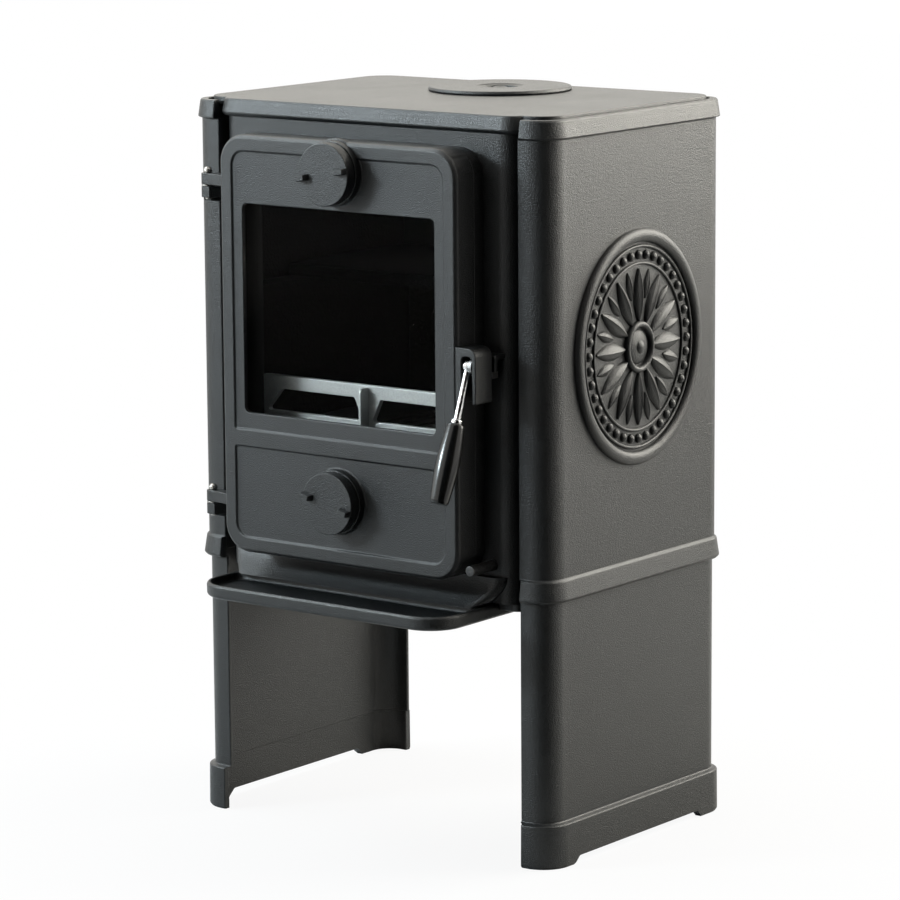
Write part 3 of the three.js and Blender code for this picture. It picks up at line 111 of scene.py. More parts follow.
def box_outline(left, right, low, high, low_radius, high_radius=None, steps=8):
    top = low_radius if high_radius is None else high_radius
    return rounded(
        [(left, low, low_radius), (right, low, low_radius), (right, high, top), (left, high, top)], steps
    )


FACINGS = {"X": lambda a, b, c: (c, a, b), "Y": lambda a, b, c: (a, c, b), "Z": lambda a, b, c: (a, b, c)}


def layered(name, levels, facing="Z"):
    """A closed skin over outlines given as (place along the facing, outline)."""
    count = len(levels[0][1])
    verts = [FACINGS[facing](a, b, c) for c, outline in levels for a, b in outline]
    faces = [tuple(reversed(range(count)))]
    for level in range(len(levels) - 1):
        for i in range(count):
            a, b = level * count + i, level * count + (i + 1) % count
            faces.append((a, b, b + count, a + count))
    faces.append(tuple(range((len(levels) - 1) * count, len(levels) * count)))
    return mend(mesh_object(name, verts, faces))


def block(name, outline, start, end, facing="Z"):
    """A straight block with sharp edges."""
    return layered(name, [(start, outline), (end, outline)], facing)


def plate(name, outlines, start, end, bevel, facing):
    """A flat casting with rounded edges, drawn as an outer outline and its holes.
    Outlines are (x, z) for Y, (y, z) for X and (x, y) for Z; start and end lie along it."""
    curve = bpy.data.curves.new(name, "CURVE")
    curve.dimensions = "2D"
    curve.fill_mode = "BOTH"
    curve.extrude = (end - start) / 2 - bevel
    curve.bevel_depth = bevel
    curve.bevel_resolution = 2
    curve.offset = -bevel if bevel else 0
    for outline in outlines:
        spline = curve.splines.new("POLY")
        spline.points.add(len(outline) - 1)
        for point, (a, b) in zip(spline.points, outline):
            point.co = (a, b, 0, 1)
        spline.use_cyclic_u = True
    holder = scene_object(name, curve)
    mesh = worked_mesh(holder)
    bpy.data.objects.remove(holder)
    bpy.data.curves.remove(curve)
    middle = (start + end) / 2
    for vertex in mesh.vertices:
        vertex.co = to_metres(*FACINGS[facing](vertex.co.x, vertex.co.y, vertex.co.z + middle))
    mesh.name = name
    mesh.materials.clear()
    return mend(scene_object(name, mesh))


def mend(obj):
    """Welds the seams and turns all faces outwards."""
    shell = bmesh.new()
    shell.from_mesh(obj.data)
    bmesh.ops.remove_doubles(shell, verts=shell.verts, dist=1e-6)
    bmesh.ops.dissolve_degenerate(shell, edges=shell.edges, dist=1e-7)
    bmesh.ops.recalc_face_normals(shell, faces=shell.faces)
    shell.to_mesh(obj.data)
    shell.free()
    return obj


def join(name, *parts):
    """One object from several shells."""
    shell = bmesh.new()
    for part in parts:
        shell.from_mesh(part.data)
        bpy.data.objects.remove(part)
    mesh = bpy.data.meshes.new(name)
    shell.to_mesh(mesh)
    shell.free()
    return scene_object(name, mesh)


def worked_mesh(obj):
    """The object's mesh with its modifiers worked in."""
    bpy.context.view_layer.update()
    return bpy.data.meshes.new_from_object(obj.evaluated_get(bpy.context.evaluated_depsgraph_get()))


def settled(obj):
    mesh = worked_mesh(obj)
    obj.modifiers.clear()
    obj.data = mesh
    return obj


def combined(obj, tools, operation):
    for tool in tools:
        step = obj.modifiers.new("combined", "BOOLEAN")
        step.operation = operation
        step.object = tool
        step.solver = "EXACT"
    settled(obj)
    for tool in tools:
        bpy.data.objects.remove(tool)
    return obj


def cut(obj, *tools):
    return combined(obj, tools, "DIFFERENCE")


def piece(obj, name, nodes, body="stove_body", material=None):
    """Finishes a piece: even shading, its material (else the stove's paint), its body and
    the solids that it stands for."""
    obj.name = name
    obj.data.name = name
    for face in obj.data.polygons:
        face.use_smooth = True
    obj.data.set_sharp_from_angle(angle=math.radians(35))
    even = obj.modifiers.new("even", "WEIGHTED_NORMAL")
    even.keep_sharp = True
    settled(obj)
    obj.data.materials.clear()
    obj.data.materials.append(material or stove_paint)
    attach(obj, body)
    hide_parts(*nodes)
    return obj


def new_group(name, inputs, outputs):
    group = bpy.data.node_groups.new(name, "ShaderNodeTree")
    for label, kind, value in inputs:
        socket = group.interface.new_socket(label, in_out="INPUT", socket_type=kind)
        socket.default_value = value
    for label, kind in outputs:
        group.interface.new_socket(label, in_out="OUTPUT", socket_type=kind)
    return group, group.nodes.new("NodeGroupInput"), group.nodes.new("NodeGroupOutput")


def node(tree, kind, values=(), **settings):
    """A node with its settings and the values of its sockets."""
    made = tree.nodes.new(kind)
    for name, value in settings.items():
        setattr(made, name, value)
    for socket, value in dict(values).items():
        made.inputs[socket].default_value = value
    return made


def wire(tree, *links):
    """Links given as (from node, its output, to node, its input)."""
    for source, output, target, socket in links:
        tree.links.new(source.outputs[output], target.inputs[socket])


# Sand-cast grain under paint: a fine pebbled height, soft clouds in the tone, and a
# change in the sheen that goes with the clouds.
grain_group, grain_in, grain_out = new_group(
    "cast_grain",
    [
        ("Grain Size", "NodeSocketFloat", 650.0),
        ("Cloud Size", "NodeSocketFloat", 14.0),
        ("Dark", "NodeSocketColor", (0.02, 0.021, 0.021, 1)),
        ("Light", "NodeSocketColor", (0.04, 0.042, 0.042, 1)),
        ("Sheen Low", "NodeSocketFloat", 0.4),
        ("Sheen High", "NodeSocketFloat", 0.55),
    ],
    [("Color", "NodeSocketColor"), ("Roughness", "NodeSocketFloat"), ("Height", "NodeSocketFloat")],
)
place = node(grain_group, "ShaderNodeTexCoord")
pebbles = node(grain_group, "ShaderNodeTexNoise", {"Detail": 2.0, "Roughness": 0.5})
clouds = node(grain_group, "ShaderNodeTexNoise", {"Detail": 4.0})
crisp = node(grain_group, "ShaderNodeMapRange", {
    "From Min": 0.34, "From Max": 0.66,
}, interpolation_type="SMOOTHSTEP")
cloud_share = node(grain_group, "ShaderNodeMath", {1: 0.45}, operation="MULTIPLY")
speck = node(grain_group, "ShaderNodeMath", {1: 0.55}, operation="MULTIPLY_ADD")
tone = node(grain_group, "ShaderNodeMix", data_type="RGBA")
sheen = node(grain_group, "ShaderNodeMapRange")
wire(
    grain_group,
    (place, "Object", pebbles, "Vector"), (place, "Object", clouds, "Vector"),
    (grain_in, "Grain Size", pebbles, "Scale"), (grain_in, "Cloud Size", clouds, "Scale"),
    (pebbles, "Fac", crisp, "Value"), (clouds, "Fac", cloud_share, 0),
    (crisp, "Result", speck, 0), (cloud_share, 0, speck, 2),
    (speck, 0, tone, "Factor"), (grain_in, "Dark", tone, "A"),
    (grain_in, "Light", tone, "B"), (clouds, "Fac", sheen, "Value"),
    (grain_in, "Sheen Low", sheen, "To Min"), (grain_in, "Sheen High", sheen, "To Max"),
    (tone, "Result", grain_out, "Color"), (sheen, "Result", grain_out, "Roughness"),
    (crisp, "Result", grain_out, "Height"),
)


def new_material(name, **values):
    """A material with constant values on its shader's own sockets."""
    material = bpy.data.materials.new(name)
    material.use_nodes = True
    tree = material.node_tree
    surface = tree.nodes["Principled BSDF"]
    for label, value in values.items():
        surface.inputs[label.replace("_", " ")].default_value = value
    return material, tree, surface


def grained(name, dark, light, sheen_low, sheen_high, bump, grain=650.0, metallic=0.0, cloud=14.0, gloss=0.5):
    """A material with the sand-cast grain; bump is the depth of the grain in millimetres."""
    material, tree, surface = new_material(name, Metallic=metallic, Specular_IOR_Level=gloss)
    grain_node = node(tree, "ShaderNodeGroup", node_tree=grain_group)
    for label, value in (
        ("Grain Size", grain), ("Cloud Size", cloud), ("Dark", (*dark, 1)), ("Light", (*light, 1)),
        ("Sheen Low", sheen_low), ("Sheen High", sheen_high),
    ):
        grain_node.inputs[label].default_value = value
    bumps = node(tree, "ShaderNodeBump", {"Strength": 1.0, "Distance": bump / 1000})
    wire(
        tree,
        (grain_node, "Color", surface, "Base Color"), (grain_node, "Roughness", surface, "Roughness"),
        (grain_node, "Height", bumps, "Height"), (bumps, "Normal", surface, "Normal"),
    )
    return material


stove_paint = grained(
    "stove_paint", (0.0008, 0.0012, 0.0016), (0.0115, 0.0132, 0.0137), 0.3, 0.42, 0.17, 980.0, gloss=0.5,
)


def channel(proud, setback=0.0, hollow=0.0, lip=1.5):
    """Plan of the right-hand panel: an outer wall and a flange at the front and back."""
    edge = FLANGE_EDGE + setback
    near, far = PANEL_WALL - hollow, PANEL_DEPTH - PANEL_WALL + hollow
    outer, inner = PANEL_CORNER + proud, PANEL_CORNER - PANEL_WALL + hollow
    return rounded([
        (edge, -proud, lip), (PANEL_FACE + proud, -proud, outer),
        (PANEL_FACE + proud, PANEL_DEPTH + proud, outer), (edge, PANEL_DEPTH + proud, lip),
        (edge, far, lip), (PANEL_FACE - PANEL_WALL + hollow, far, inner),
        (PANEL_FACE - PANEL_WALL + hollow, near, inner), (edge, near, lip),
    ], steps=10)


def eased(profile, radius, steps=4):
    """Height and stand-out pairs along a moulding with their corners rounded."""
    points = [profile[0]]
    for before, corner, after in zip(profile, profile[1:], profile[2:]):
        here, back, on = Vector(corner), Vector(before), Vector(after)
        reach = min(radius, (back - here).length * 0.45, (on - here).length * 0.45)
        start = here + (back - here).normalized() * reach
        end = here + (on - here).normalized() * reach
        for k in range(steps + 1):
            t = k / steps
            points.append(tuple(start * (1 - t) ** 2 + here * 2 * t * (1 - t) + end * t * t))
    points.append(profile[-1])
    return points


def side_panel_skin():
    low, high = PANEL_LOW, PANEL_HIGH
    # height and stand-out along the moulding
    line = [
        (low, 2.6), (low + 2.2, BAND_PROUD), (low + 20, 2.2), (low + 21.5, 0.0),
        (high - 18, 0.0), (high - 17.2, 4.0), (high - 1.4, 1.6), (high, 0.4),
    ]
    levels = []
    for z, proud in eased(line, 1.2):
        setback = 3.5 if z > high - 17.6 else (3.0 if z < low + 20.5 else 0.0)
        levels.append((z, channel(proud, setback)))
    return layered("side_panel_skin", levels)


def mirrored(obj, name):
    mesh = obj.data.copy()
    mesh.transform(Matrix.Scale(-1, 4, (1, 0, 0)))
    mesh.flip_normals()
    return scene_object(name, mesh)


# The ornament: one petal or bead is drawn and a node tree sets it round an oval.
RELIEF_Y, RELIEF_Z = 145.0, 484.0
RELIEF_OVAL = 1.09


def ring_tree(material):
    """Sets a cast detail round a circle, facing outwards from its middle."""
    tree = bpy.data.node_groups.new("details_round_a_ring", "GeometryNodeTree")
    for label, kind in (
        ("Geometry", "NodeSocketGeometry"), ("Count", "NodeSocketInt"), ("Radius", "NodeSocketFloat"),
        ("Start", "NodeSocketFloat"),
    ):
        tree.interface.new_socket(label, in_out="INPUT", socket_type=kind)
    tree.interface.new_socket("Geometry", in_out="OUTPUT", socket_type="NodeSocketGeometry")
    entry, leave = node(tree, "NodeGroupInput"), node(tree, "NodeGroupOutput")
    ring = node(tree, "GeometryNodeMeshCircle")
    spot = node(tree, "GeometryNodeInstanceOnPoints")
    index = node(tree, "GeometryNodeInputIndex")
    step = node(tree, "ShaderNodeMath", {0: 2 * math.pi}, operation="DIVIDE")
    angle = node(tree, "ShaderNodeMath", operation="MULTIPLY")
    turn, start_turn = node(tree, "ShaderNodeCombineXYZ"), node(tree, "ShaderNodeCombineXYZ")
    whole = node(tree, "GeometryNodeTransform")
    real = node(tree, "GeometryNodeRealizeInstances")
    paint = node(tree, "GeometryNodeSetMaterial", {"Material": material})
    wire(
        tree,
        (entry, "Count", ring, "Vertices"), (entry, "Radius", ring, "Radius"),
        (ring, "Mesh", spot, "Points"), (entry, "Geometry", spot, "Instance"),
        (entry, "Count", step, 1), (index, 0, angle, 0),
        (step, 0, angle, 1), (angle, 0, turn, "Z"),
        (turn, 0, spot, "Rotation"), (entry, "Start", start_turn, "Z"),
        (spot, "Instances", whole, "Geometry"), (start_turn, 0, whole, "Rotation"),
        (whole, "Geometry", real, "Geometry"), (real, "Geometry", paint, "Geometry"),
        (paint, "Geometry", leave, "Geometry"),
    )
    return tree


details_round_a_ring = ring_tree(stove_paint)


def ring_of(obj, count, radius, start=0.0):
    """The object's mesh repeated round a circle by the node tree above."""
    step = obj.modifiers.new("ring", "NODES")
    step.node_group = details_round_a_ring
    values = {"Count": count, "Radius": float(radius), "Start": float(start)}
    for item in details_round_a_ring.interface.items_tree:
        if item.item_type == "SOCKET" and item.in_out == "INPUT" and item.name in values:
            step[item.identifier] = values[item.name]
    return settled(obj)


def leaf(name, length, width, height, ridge, across=10, along=16, sink=2.0):
    """A pointed leaf or petal, drawn flat, with a raised middle rib, pointing along +X."""
    verts, faces = [], []
    for i in range(along + 1):
        t = i / along
        half = width / 2 * math.sin(math.pi * min(1.0, t * 0.94 + 0.03)) ** 0.8 * (1 - 0.15 * t)
        crown = height * math.sin(math.pi * (0.12 + 0.8 * t)) ** 0.7
        for j in range(across + 1):
            s = 2 * j / across - 1
            rise = crown * (1 - abs(s) ** 2.4) + ridge * max(0, 1 - abs(s) * 5) * math.sin(math.pi * t)
            verts.append((length * (t - 0.5), half * s, rise))
    top = len(verts)
    verts += [(x, y, -sink) for x, y, _ in verts[:top]]
    row = across + 1
    for i in range(along):
        for j in range(across):
            a = i * row + j
            faces.append((a, a + row, a + row + 1, a + 1))
            faces.append((top + a, top + a + 1, top + a + row + 1, top + a + row))
    edge = list(range(row)) + [i * row + across for i in range(1, along + 1)]
    edge += [along * row + j for j in range(across - 1, -1, -1)] + [i * row for i in range(along - 1, 0, -1)]
    for a, b in zip(edge, edge[1:] + edge[:1]):
        faces.append((a, b, top + b, top + a))
    return mend(mesh_object(name, verts, faces, placed=False))


def turned_skin(profile, steps):
    """Points and faces of a turned form, from (radius, along) pairs."""
    count = len(profile)
    verts, faces = [], []
    for k in range(steps):
        angle = 2 * math.pi * k / steps
        verts += [(r * math.cos(angle), r * math.sin(angle), h) for r, h in profile]
        after = (k + 1) % steps
        for i in range(count - 1):
            faces.append((k * count + i, after * count + i, after * count + i + 1, k * count + i + 1))
    return verts, faces


def flat_turned(name, profile, steps=64):
    return mend(mesh_object(name, *turned_skin(profile, steps), placed=False))


def bead(name, radius, height, sink=2.0, steps=20):
    profile = [(0, -sink), (radius, -sink)]
    profile += [(radius * math.cos(a), height * math.sin(a)) for a in
                (math.pi / 2 * k / 6 for k in range(6))]
    profile.append((0, height))
    return flat_turned(name, profile, steps)


def ring_profile(middle, half, height, sink=2.0):
    """A half-round moulding."""
    profile = [(middle - half, -sink), (middle + half, -sink)]
    for k in range(13):
        a = math.pi * k / 12
        profile.append((middle + half * math.cos(a), height * math.sin(a) ** 0.8))
    profile.append((middle - half, -sink))
    return profile


def ornament():
    parts = [
        flat_turned("rim", ring_profile(98, 6, 6.0), 160),
        flat_turned("inner_rim", ring_profile(88.5, 1.6, 2.6), 160),
        ring_of(bead("beads", 4.3, 4.2), 40, 81.0),
        flat_turned("bead_rim", ring_profile(73.5, 1.4, 2.2), 160),
        ring_of(leaf("petals", 46, 17, 5.2, 1.3), 12, 46.0),
        ring_of(leaf("small_petals", 26, 11, 3.2, 0.9), 12, 56.0, math.pi / 12),
        flat_turned("heart_rim", ring_profile(20, 3.0, 5.2), 72),
        ring_of(bead("seeds", 2.2, 2.4), 10, 11.8),
        bead("heart", 15.5, 3.6, steps=48),
        bead("heart_stud", 7.0, 6.2, steps=36),
    ]
    whole = join("ornament", *parts)
    stand_up = Matrix(((0, 0, 1, 0), (1, 0, 0, 0), (0, RELIEF_OVAL, 0, 0), (0, 0, 0, 1)))
    whole.data.transform(stand_up)
    for vertex in whole.data.vertices:
        x, y, z = vertex.co
        vertex.co = to_metres(x + PANEL_FACE, y + RELIEF_Y, z + RELIEF_Z)
    return mend(whole)


right_skin = side_panel_skin()
left_skin = mirrored(right_skin, "left_skin")
for side in ("upper", "lower"):
    notch_z = heights(f"{side}_hinge_washer")[0]
    notch = plate("notch", [box_outline(-206, -170, notch_z - 17.2, notch_z - 0.4, 1.5)], -8, 9, 0.2, "Y")
    cut(left_skin, notch)
right_ornament = ornament()
left_ornament = mirrored(right_ornament, "left_ornament")
piece(join("right_panel", right_skin, right_ornament), "right_panel", ["right_side_panel"])
piece(join("left_panel", left_skin, left_ornament), "left_panel", ["left_side_panel"])

# ----------------------------------------------------------------- leg panels
# The stove stands on two taller channel castings, set back a little under the panels.
# Each has a plinth at its foot, cut away between its two feet, and its sides are bare.
LEG_SETBACK = 2.0
PLINTH_TOP, PLINTH_PROUD, PLINTH_HOLLOW = 43.5, 4.0, 2.0
FOOT_DEPTH, FOOT_RAMP, ARCH_HEIGHT = 40.0, 8.0, 7.5
LEG_TOP = heights("right_leg_panel")[1]


def soften(obj, width, segments=2, angle=38):
    """Rounds the edges that the mould would round."""
    edge = obj.modifiers.new("edge", "BEVEL")
    edge.width = width / 1000
    edge.segments = segments
    edge.limit_method = "ANGLE"
    edge.angle_limit = math.radians(angle)
    return settled(obj)


def leg_skin():
    levels = []
    line = [
        (0, 2.6), (1.8, PLINTH_PROUD), (PLINTH_TOP - 1.6, PLINTH_PROUD - 0.4), (PLINTH_TOP, -LEG_SETBACK),
        (LEG_TOP - 1.0, -LEG_SETBACK), (LEG_TOP, -LEG_SETBACK - 0.6),
    ]
    for z, proud in eased(line, 1.3):
        in_plinth = z < PLINTH_TOP - 0.8
        hollow = PLINTH_HOLLOW if in_plinth else 0.0
        levels.append((z, channel(proud, 3.5 if in_plinth else 0.0, hollow, 1.2)))
    return layered("leg_skin", levels)


arch_front, arch_rear = FOOT_DEPTH - PLINTH_PROUD, PANEL_DEPTH + PLINTH_PROUD - FOOT_DEPTH - FOOT_RAMP
arch_outline = rounded([
    (arch_front, -3, 0), (arch_rear, -3, 0), (arch_rear, 0.5, 2.0), (arch_rear - FOOT_RAMP, ARCH_HEIGHT, 4.0),
    (arch_front + FOOT_RAMP, ARCH_HEIGHT, 4.0), (arch_front, 0.5, 2.0),
], 5)
right_leg = cut(leg_skin(), plate("arch", [arch_outline], 170, 230, 0, "X"))
soften(right_leg, 0.9)
left_leg = mirrored(right_leg, "left_leg")
piece(right_leg, "right_leg", ["right_leg_panel"])
piece(left_leg, "left_leg", ["left_leg_panel"])

# ------------------------------------------------------------------- hotplate
# One cast plate lies on the firebox and laps over it at the front, with a leaning edge.
# Behind the front flanges it widens into thin wings that close the hollow side panels.
# It's open below, with a hole for a flue.
PLATE_HALF, PLATE_FRONT, PLATE_BACK = 183.0, -4.0, 289.3
WING_HALF, WING_FRONT = 208.3, 10.0
PLATE_LOW, PLATE_TOP = heights("hotplate")
FLUE_Y, FLUE_RADIUS = 217.0, 60.0


def circle(x, y, radius, steps=48):
    return [
        (x + radius * math.cos(2 * math.pi * k / steps), y + radius * math.sin(2 * math.pi * k / steps))
        for k in range(steps)
    ]


def fuse(obj, *parts):
    return combined(obj, parts, "UNION")


def plate_outline(inset):
    half = PLATE_HALF - inset
    return box_outline(-half, half, PLATE_FRONT + inset, PLATE_BACK - inset, 20 - inset, 60 - inset, steps=14)


def wing_outline(inset):
    half = WING_HALF - inset
    return box_outline(-half, half, WING_FRONT + inset, PLATE_BACK - inset, 26 - inset, steps=14)


plate_edge = eased([
    (PLATE_LOW, 5.0), (PLATE_LOW, 3.0), (PLATE_LOW + 3.0, 0.0), (PLATE_TOP - 0.8, 3.0), (PLATE_TOP, 4.0),
    (PLATE_TOP, 6.0),
], 1.6, 6)
wing_edge = [(PLATE_TOP - 8, 0.6), (PLATE_TOP - 7.4, 0.0), (PLATE_TOP - 1.2, 0.0), (PLATE_TOP - 0.35, 0.35),
             (PLATE_TOP, 1.2)]
hotplate = layered("hotplate_skin", [(z, plate_outline(inset)) for z, inset in plate_edge])
wings = layered("wings", [(z, wing_outline(inset)) for z, inset in wing_edge])
plate_hollow = block("plate_hollow", plate_outline(15.0), PLATE_LOW - 2, PLATE_TOP - 8)
plate_hole = block("plate_hole", circle(0, FLUE_Y, FLUE_RADIUS, 72), PLATE_LOW - 3, PLATE_TOP + 3)
fuse(hotplate, wings)
cut(hotplate, plate_hollow, plate_hole)
piece(hotplate, "hotplate_top", ["hotplate"])

# ----------------------------------------------------------------- flue cover
# A round iron cover closes the hole in the hotplate, because the flue leaves at the
# back. Its dished middle holds a round-headed bolt that pulls a bar up from below.
COVER_LOW, COVER_TOP = PLATE_TOP + 0.3, heights("flue_cover")[1]


def turned(name, profile, x, y, z, facing="Z", steps=64):
    """A turned piece from (radius, along) pairs. Facing is its axis; the pairs run from
    low to high along it, starting and ending on the axis or closing on themselves."""
    verts, faces = turned_skin(profile, steps)
    moved = [(x + a, y + b, z + c) for a, b, c in (FACINGS[facing](*vertex) for vertex in verts)]
    return mend(mesh_object(name, moved, faces))


flue_cover = turned("flue_cover_disc", [
    (5.3, COVER_TOP - 8.2), (21.5, COVER_TOP - 8.2), (22.0, COVER_TOP - 7.6), (22.0, COVER_LOW - 0.4),
    (22.6, COVER_LOW), (69.8, COVER_LOW), (70.7, COVER_LOW + 0.5), (71.0, COVER_LOW + 1.3),
    (70.7, COVER_LOW + 2.3), (69.9, COVER_TOP - 0.5), (68.8, COVER_TOP - 0.1), (67.6, COVER_TOP),
    (24.5, COVER_TOP), (23.4, COVER_TOP - 0.15), (22.8, COVER_TOP - 0.6), (21.6, COVER_TOP - 1.2),
    (19.0, COVER_TOP - 1.4), (18.2, COVER_TOP - 1.8), (17.6, COVER_TOP - 4.2), (16.8, COVER_TOP - 5.0),
    (5.8, COVER_TOP - 5.0), (5.3, COVER_TOP - 5.3), (5.3, COVER_TOP - 8.2),
], 0, FLUE_Y, 0, steps=128)
piece(flue_cover, "flue_cover_plate", ["flue_cover"])

steel = grained("zinc_steel", (0.22, 0.22, 0.22), (0.36, 0.355, 0.35), 0.3, 0.46, 0.04, 900.0, 0.9, 60.0)
BOLT_LOW, BOLT_HIGH = heights("flue_cover_bolt")
cover_bolt = turned("cover_bolt", [
    (0, BOLT_LOW), (3.6, BOLT_LOW), (4.0, BOLT_LOW + 0.5), (4.0, BOLT_HIGH - 4.0), (7.4, BOLT_HIGH - 4.0),
    (8.0, BOLT_HIGH - 3.4), (7.8, BOLT_HIGH - 2.4), (6.8, BOLT_HIGH - 1.0), (5.0, BOLT_HIGH - 0.3),
    (2.8, BOLT_HIGH), (2.3, BOLT_HIGH - 0.2), (2.0, BOLT_HIGH - 1.3), (0, BOLT_HIGH - 1.3),
], 0, FLUE_Y, 0, steps=48)
piece(cover_bolt, "flue_cover_screw", ["flue_cover_bolt"])

# -------------------------------------------------------------- front casting
# The front of the firebox is one casting: a wall with round corners, a collar round the
# mouth that the door closes on, an apron that flares down to the ash lip, hinge arms
# on the left and the catch on the right. Round the mouth it's blackened with soot and
# with painted shade.
BODY_HALF, BODY_CORNER, BODY_WALL = 176.0, 18.0, 8.0
WALL_LOW, WALL_HIGH = 252.0, heights("front_casting")[1]
MOUTH_HALF, MOUTH_LOW, MOUTH_HIGH, MOUTH_CORNER = 132.7, 287.0, 674.0, 18.0
COLLAR, COLLAR_DEPTH = 8.0, 15.0
HINGE_X, HINGE_Y, KNUCKLE_RADIUS = -181.0, -16.0, 6.5


# Soot and painted shade: one inside the mouth of the firebox, fading out over its last few millimetres.
soot_shade_group, soot_shade_in, soot_shade_out = new_group(
    "soot_and_shade_mask",
    [(label, "NodeSocketFloat", value) for label, value in (
        ("Start", 0.0), ("Half Width", 0.137), ("Middle", 0.481), ("Half Height", 0.198))],
    [("Mask", "NodeSocketFloat")],
)
soot_shade_axes = node(soot_shade_group, "ShaderNodeSeparateXYZ")
wire(soot_shade_group, (node(soot_shade_group, "ShaderNodeTexCoord"), "Object", soot_shade_axes, 0))


def soot_shade_math(operation, first, second):
    step = node(soot_shade_group, "ShaderNodeMath", operation=operation)
    for socket, value in zip(step.inputs, (first, second)):
        if isinstance(value, (int, float)):
            socket.default_value = value
        elif value is not None:
            soot_shade_group.links.new(value, socket)
    return step.outputs[0]


soot_shade_depth = soot_shade_math("SUBTRACT", soot_shade_axes.outputs["Y"], soot_shade_in.outputs["Start"])
soot_shade_across = soot_shade_math("ABSOLUTE", soot_shade_axes.outputs["X"], None)
soot_shade_side = soot_shade_math("SUBTRACT", soot_shade_in.outputs["Half Width"], soot_shade_across)
soot_shade_rise = soot_shade_math("SUBTRACT", soot_shade_axes.outputs["Z"], soot_shade_in.outputs["Middle"])
soot_shade_height = soot_shade_math("SUBTRACT", soot_shade_in.outputs["Half Height"], soot_shade_math("ABSOLUTE", soot_shade_rise, None))
soot_shade_least = soot_shade_math("MINIMUM", soot_shade_depth, soot_shade_math("MINIMUM", soot_shade_side, soot_shade_height))
soot_shade_fade = node(soot_shade_group, "ShaderNodeMapRange", {"From Max": 0.003}, interpolation_type="SMOOTHSTEP")
soot_shade_group.links.new(soot_shade_least, soot_shade_fade.inputs["Value"])
wire(soot_shade_group, (soot_shade_fade, "Result", soot_shade_out, "Mask"))


def sooted_and_shaded(name, start):
    """The stove's paint, blackened inside the mouth with soot and painted shade. Start is how far back the
    blackening begins.
    """
    material = stove_paint.copy()
    material.name = name
    tree = material.node_tree
    surface = tree.nodes["Principled BSDF"]
    mask = node(tree, "ShaderNodeGroup", node_tree=soot_shade_group)
    mask.inputs["Start"].default_value = to_metres(0, start, 0)[1]
    # Near-black and fully rough: soot, with painted shade on top of it.
    for label, kind, soot in (("Base Color", "RGBA", (0.002, 0.002, 0.002, 1)), ("Roughness", "FLOAT", 0.95)):
        blend = node(tree, "ShaderNodeMix", data_type=kind)
        share, clean, soot_shade_socket = [socket for socket in blend.inputs if socket.enabled]
        soot_shade_socket.default_value = soot
        tree.links.new(mask.outputs["Mask"], share)
        tree.links.new(surface.inputs[label].links[0].from_socket, clean)
        tree.links.new([socket for socket in blend.outputs if socket.enabled][0], surface.inputs[label])
    return material


# Soot and painted shade begin 18 mm in front of the panels' face, so the whole collar is black.
mouth_paint = sooted_and_shaded("mouth_paint", -18.0)


def arc(x, y, radius, first, last, steps=12):
    return [
        (x + radius * math.cos(math.radians(first + (last - first) * k / steps)),
         y + radius * math.sin(math.radians(first + (last - first) * k / steps)))
        for k in range(steps + 1)
    ]


def mouth(grow):
    half = MOUTH_HALF + grow
    return box_outline(-half, half, MOUTH_LOW - grow, MOUTH_HIGH + grow, MOUTH_CORNER + grow, steps=12)


wall_x, wall_inner = BODY_HALF - BODY_CORNER, BODY_CORNER - BODY_WALL
wall_plan = (
    arc(-wall_x, BODY_CORNER, BODY_CORNER, 180, 270, 20) + arc(wall_x, BODY_CORNER, BODY_CORNER, 270, 360, 20)
    + arc(wall_x, BODY_CORNER, wall_inner, 0, -90, 20) + arc(-wall_x, BODY_CORNER, wall_inner, 270, 180, 20)
)
front_wall = block("front_wall", wall_plan, WALL_LOW, WALL_HIGH)
rod_bore = block("rod_bore", circle(150, 288.5, 5.5, 24), -40, 20, "Y")
cut(front_wall, block("mouth_tool", mouth(0), -20, 20, "Y"))
collar = plate("collar", [mouth(COLLAR), mouth(0)], -COLLAR_DEPTH, 1.0, 1.6, "Y")
APRON_TOP, APRON_LOW = MOUTH_LOW - COLLAR - 1, heights("front_casting")[0]
apron_levels = []
for step in range(15):
    share = step / 14
    sweep = (1 - share) ** 2
    half, reach = 166 + (146 - 166) * sweep, 8 + (28 - 8) * sweep
    apron_levels.append((
        APRON_LOW + (APRON_TOP - APRON_LOW) * share, box_outline(-half, half, -reach, BODY_WALL - 1, 12, 1, 8),
    ))
apron = layered("apron", apron_levels)
knuckle_tops = [heights(f"{side}_hinge_washer")[0] - 0.3 for side in ("upper", "lower")]


def knuckle(name, low, high, root):
    outline = arc(HINGE_X, HINGE_Y, KNUCKLE_RADIUS, 90, 270, 16) + root
    return plate(name, [outline, circle(HINGE_X, HINGE_Y, 3.25, 28)], low, high, 0.8, "Z")


body_root = [(HINGE_X + KNUCKLE_RADIUS, HINGE_Y - KNUCKLE_RADIUS)]
body_root += arc(-BODY_HALF + BODY_CORNER, BODY_CORNER, BODY_CORNER - BODY_WALL / 2, 270, 200, 10)
body_knuckles = [knuckle("body_knuckle", top - 11, top, body_root) for top in knuckle_tops]
catch_top = 491.2
catch = plate("catch", [rounded([
    (7, catch_top, 0), (-15, catch_top, 3), (-15, 475.2, 1.5), (-10, 475.2, 1.5), (-10, catch_top - 5, 3),
    (7, catch_top - 5, 0),
], 5)], 150.4, 164.4, 0.9, "X")
front_iron = fuse(front_wall, collar, apron)
cut(front_iron, rod_bore)
soften(front_iron, 0.8)
piece(join("firebox_front", front_iron, *body_knuckles, catch), "firebox_front", ["front_casting"],
      "stove_body", mouth_paint)

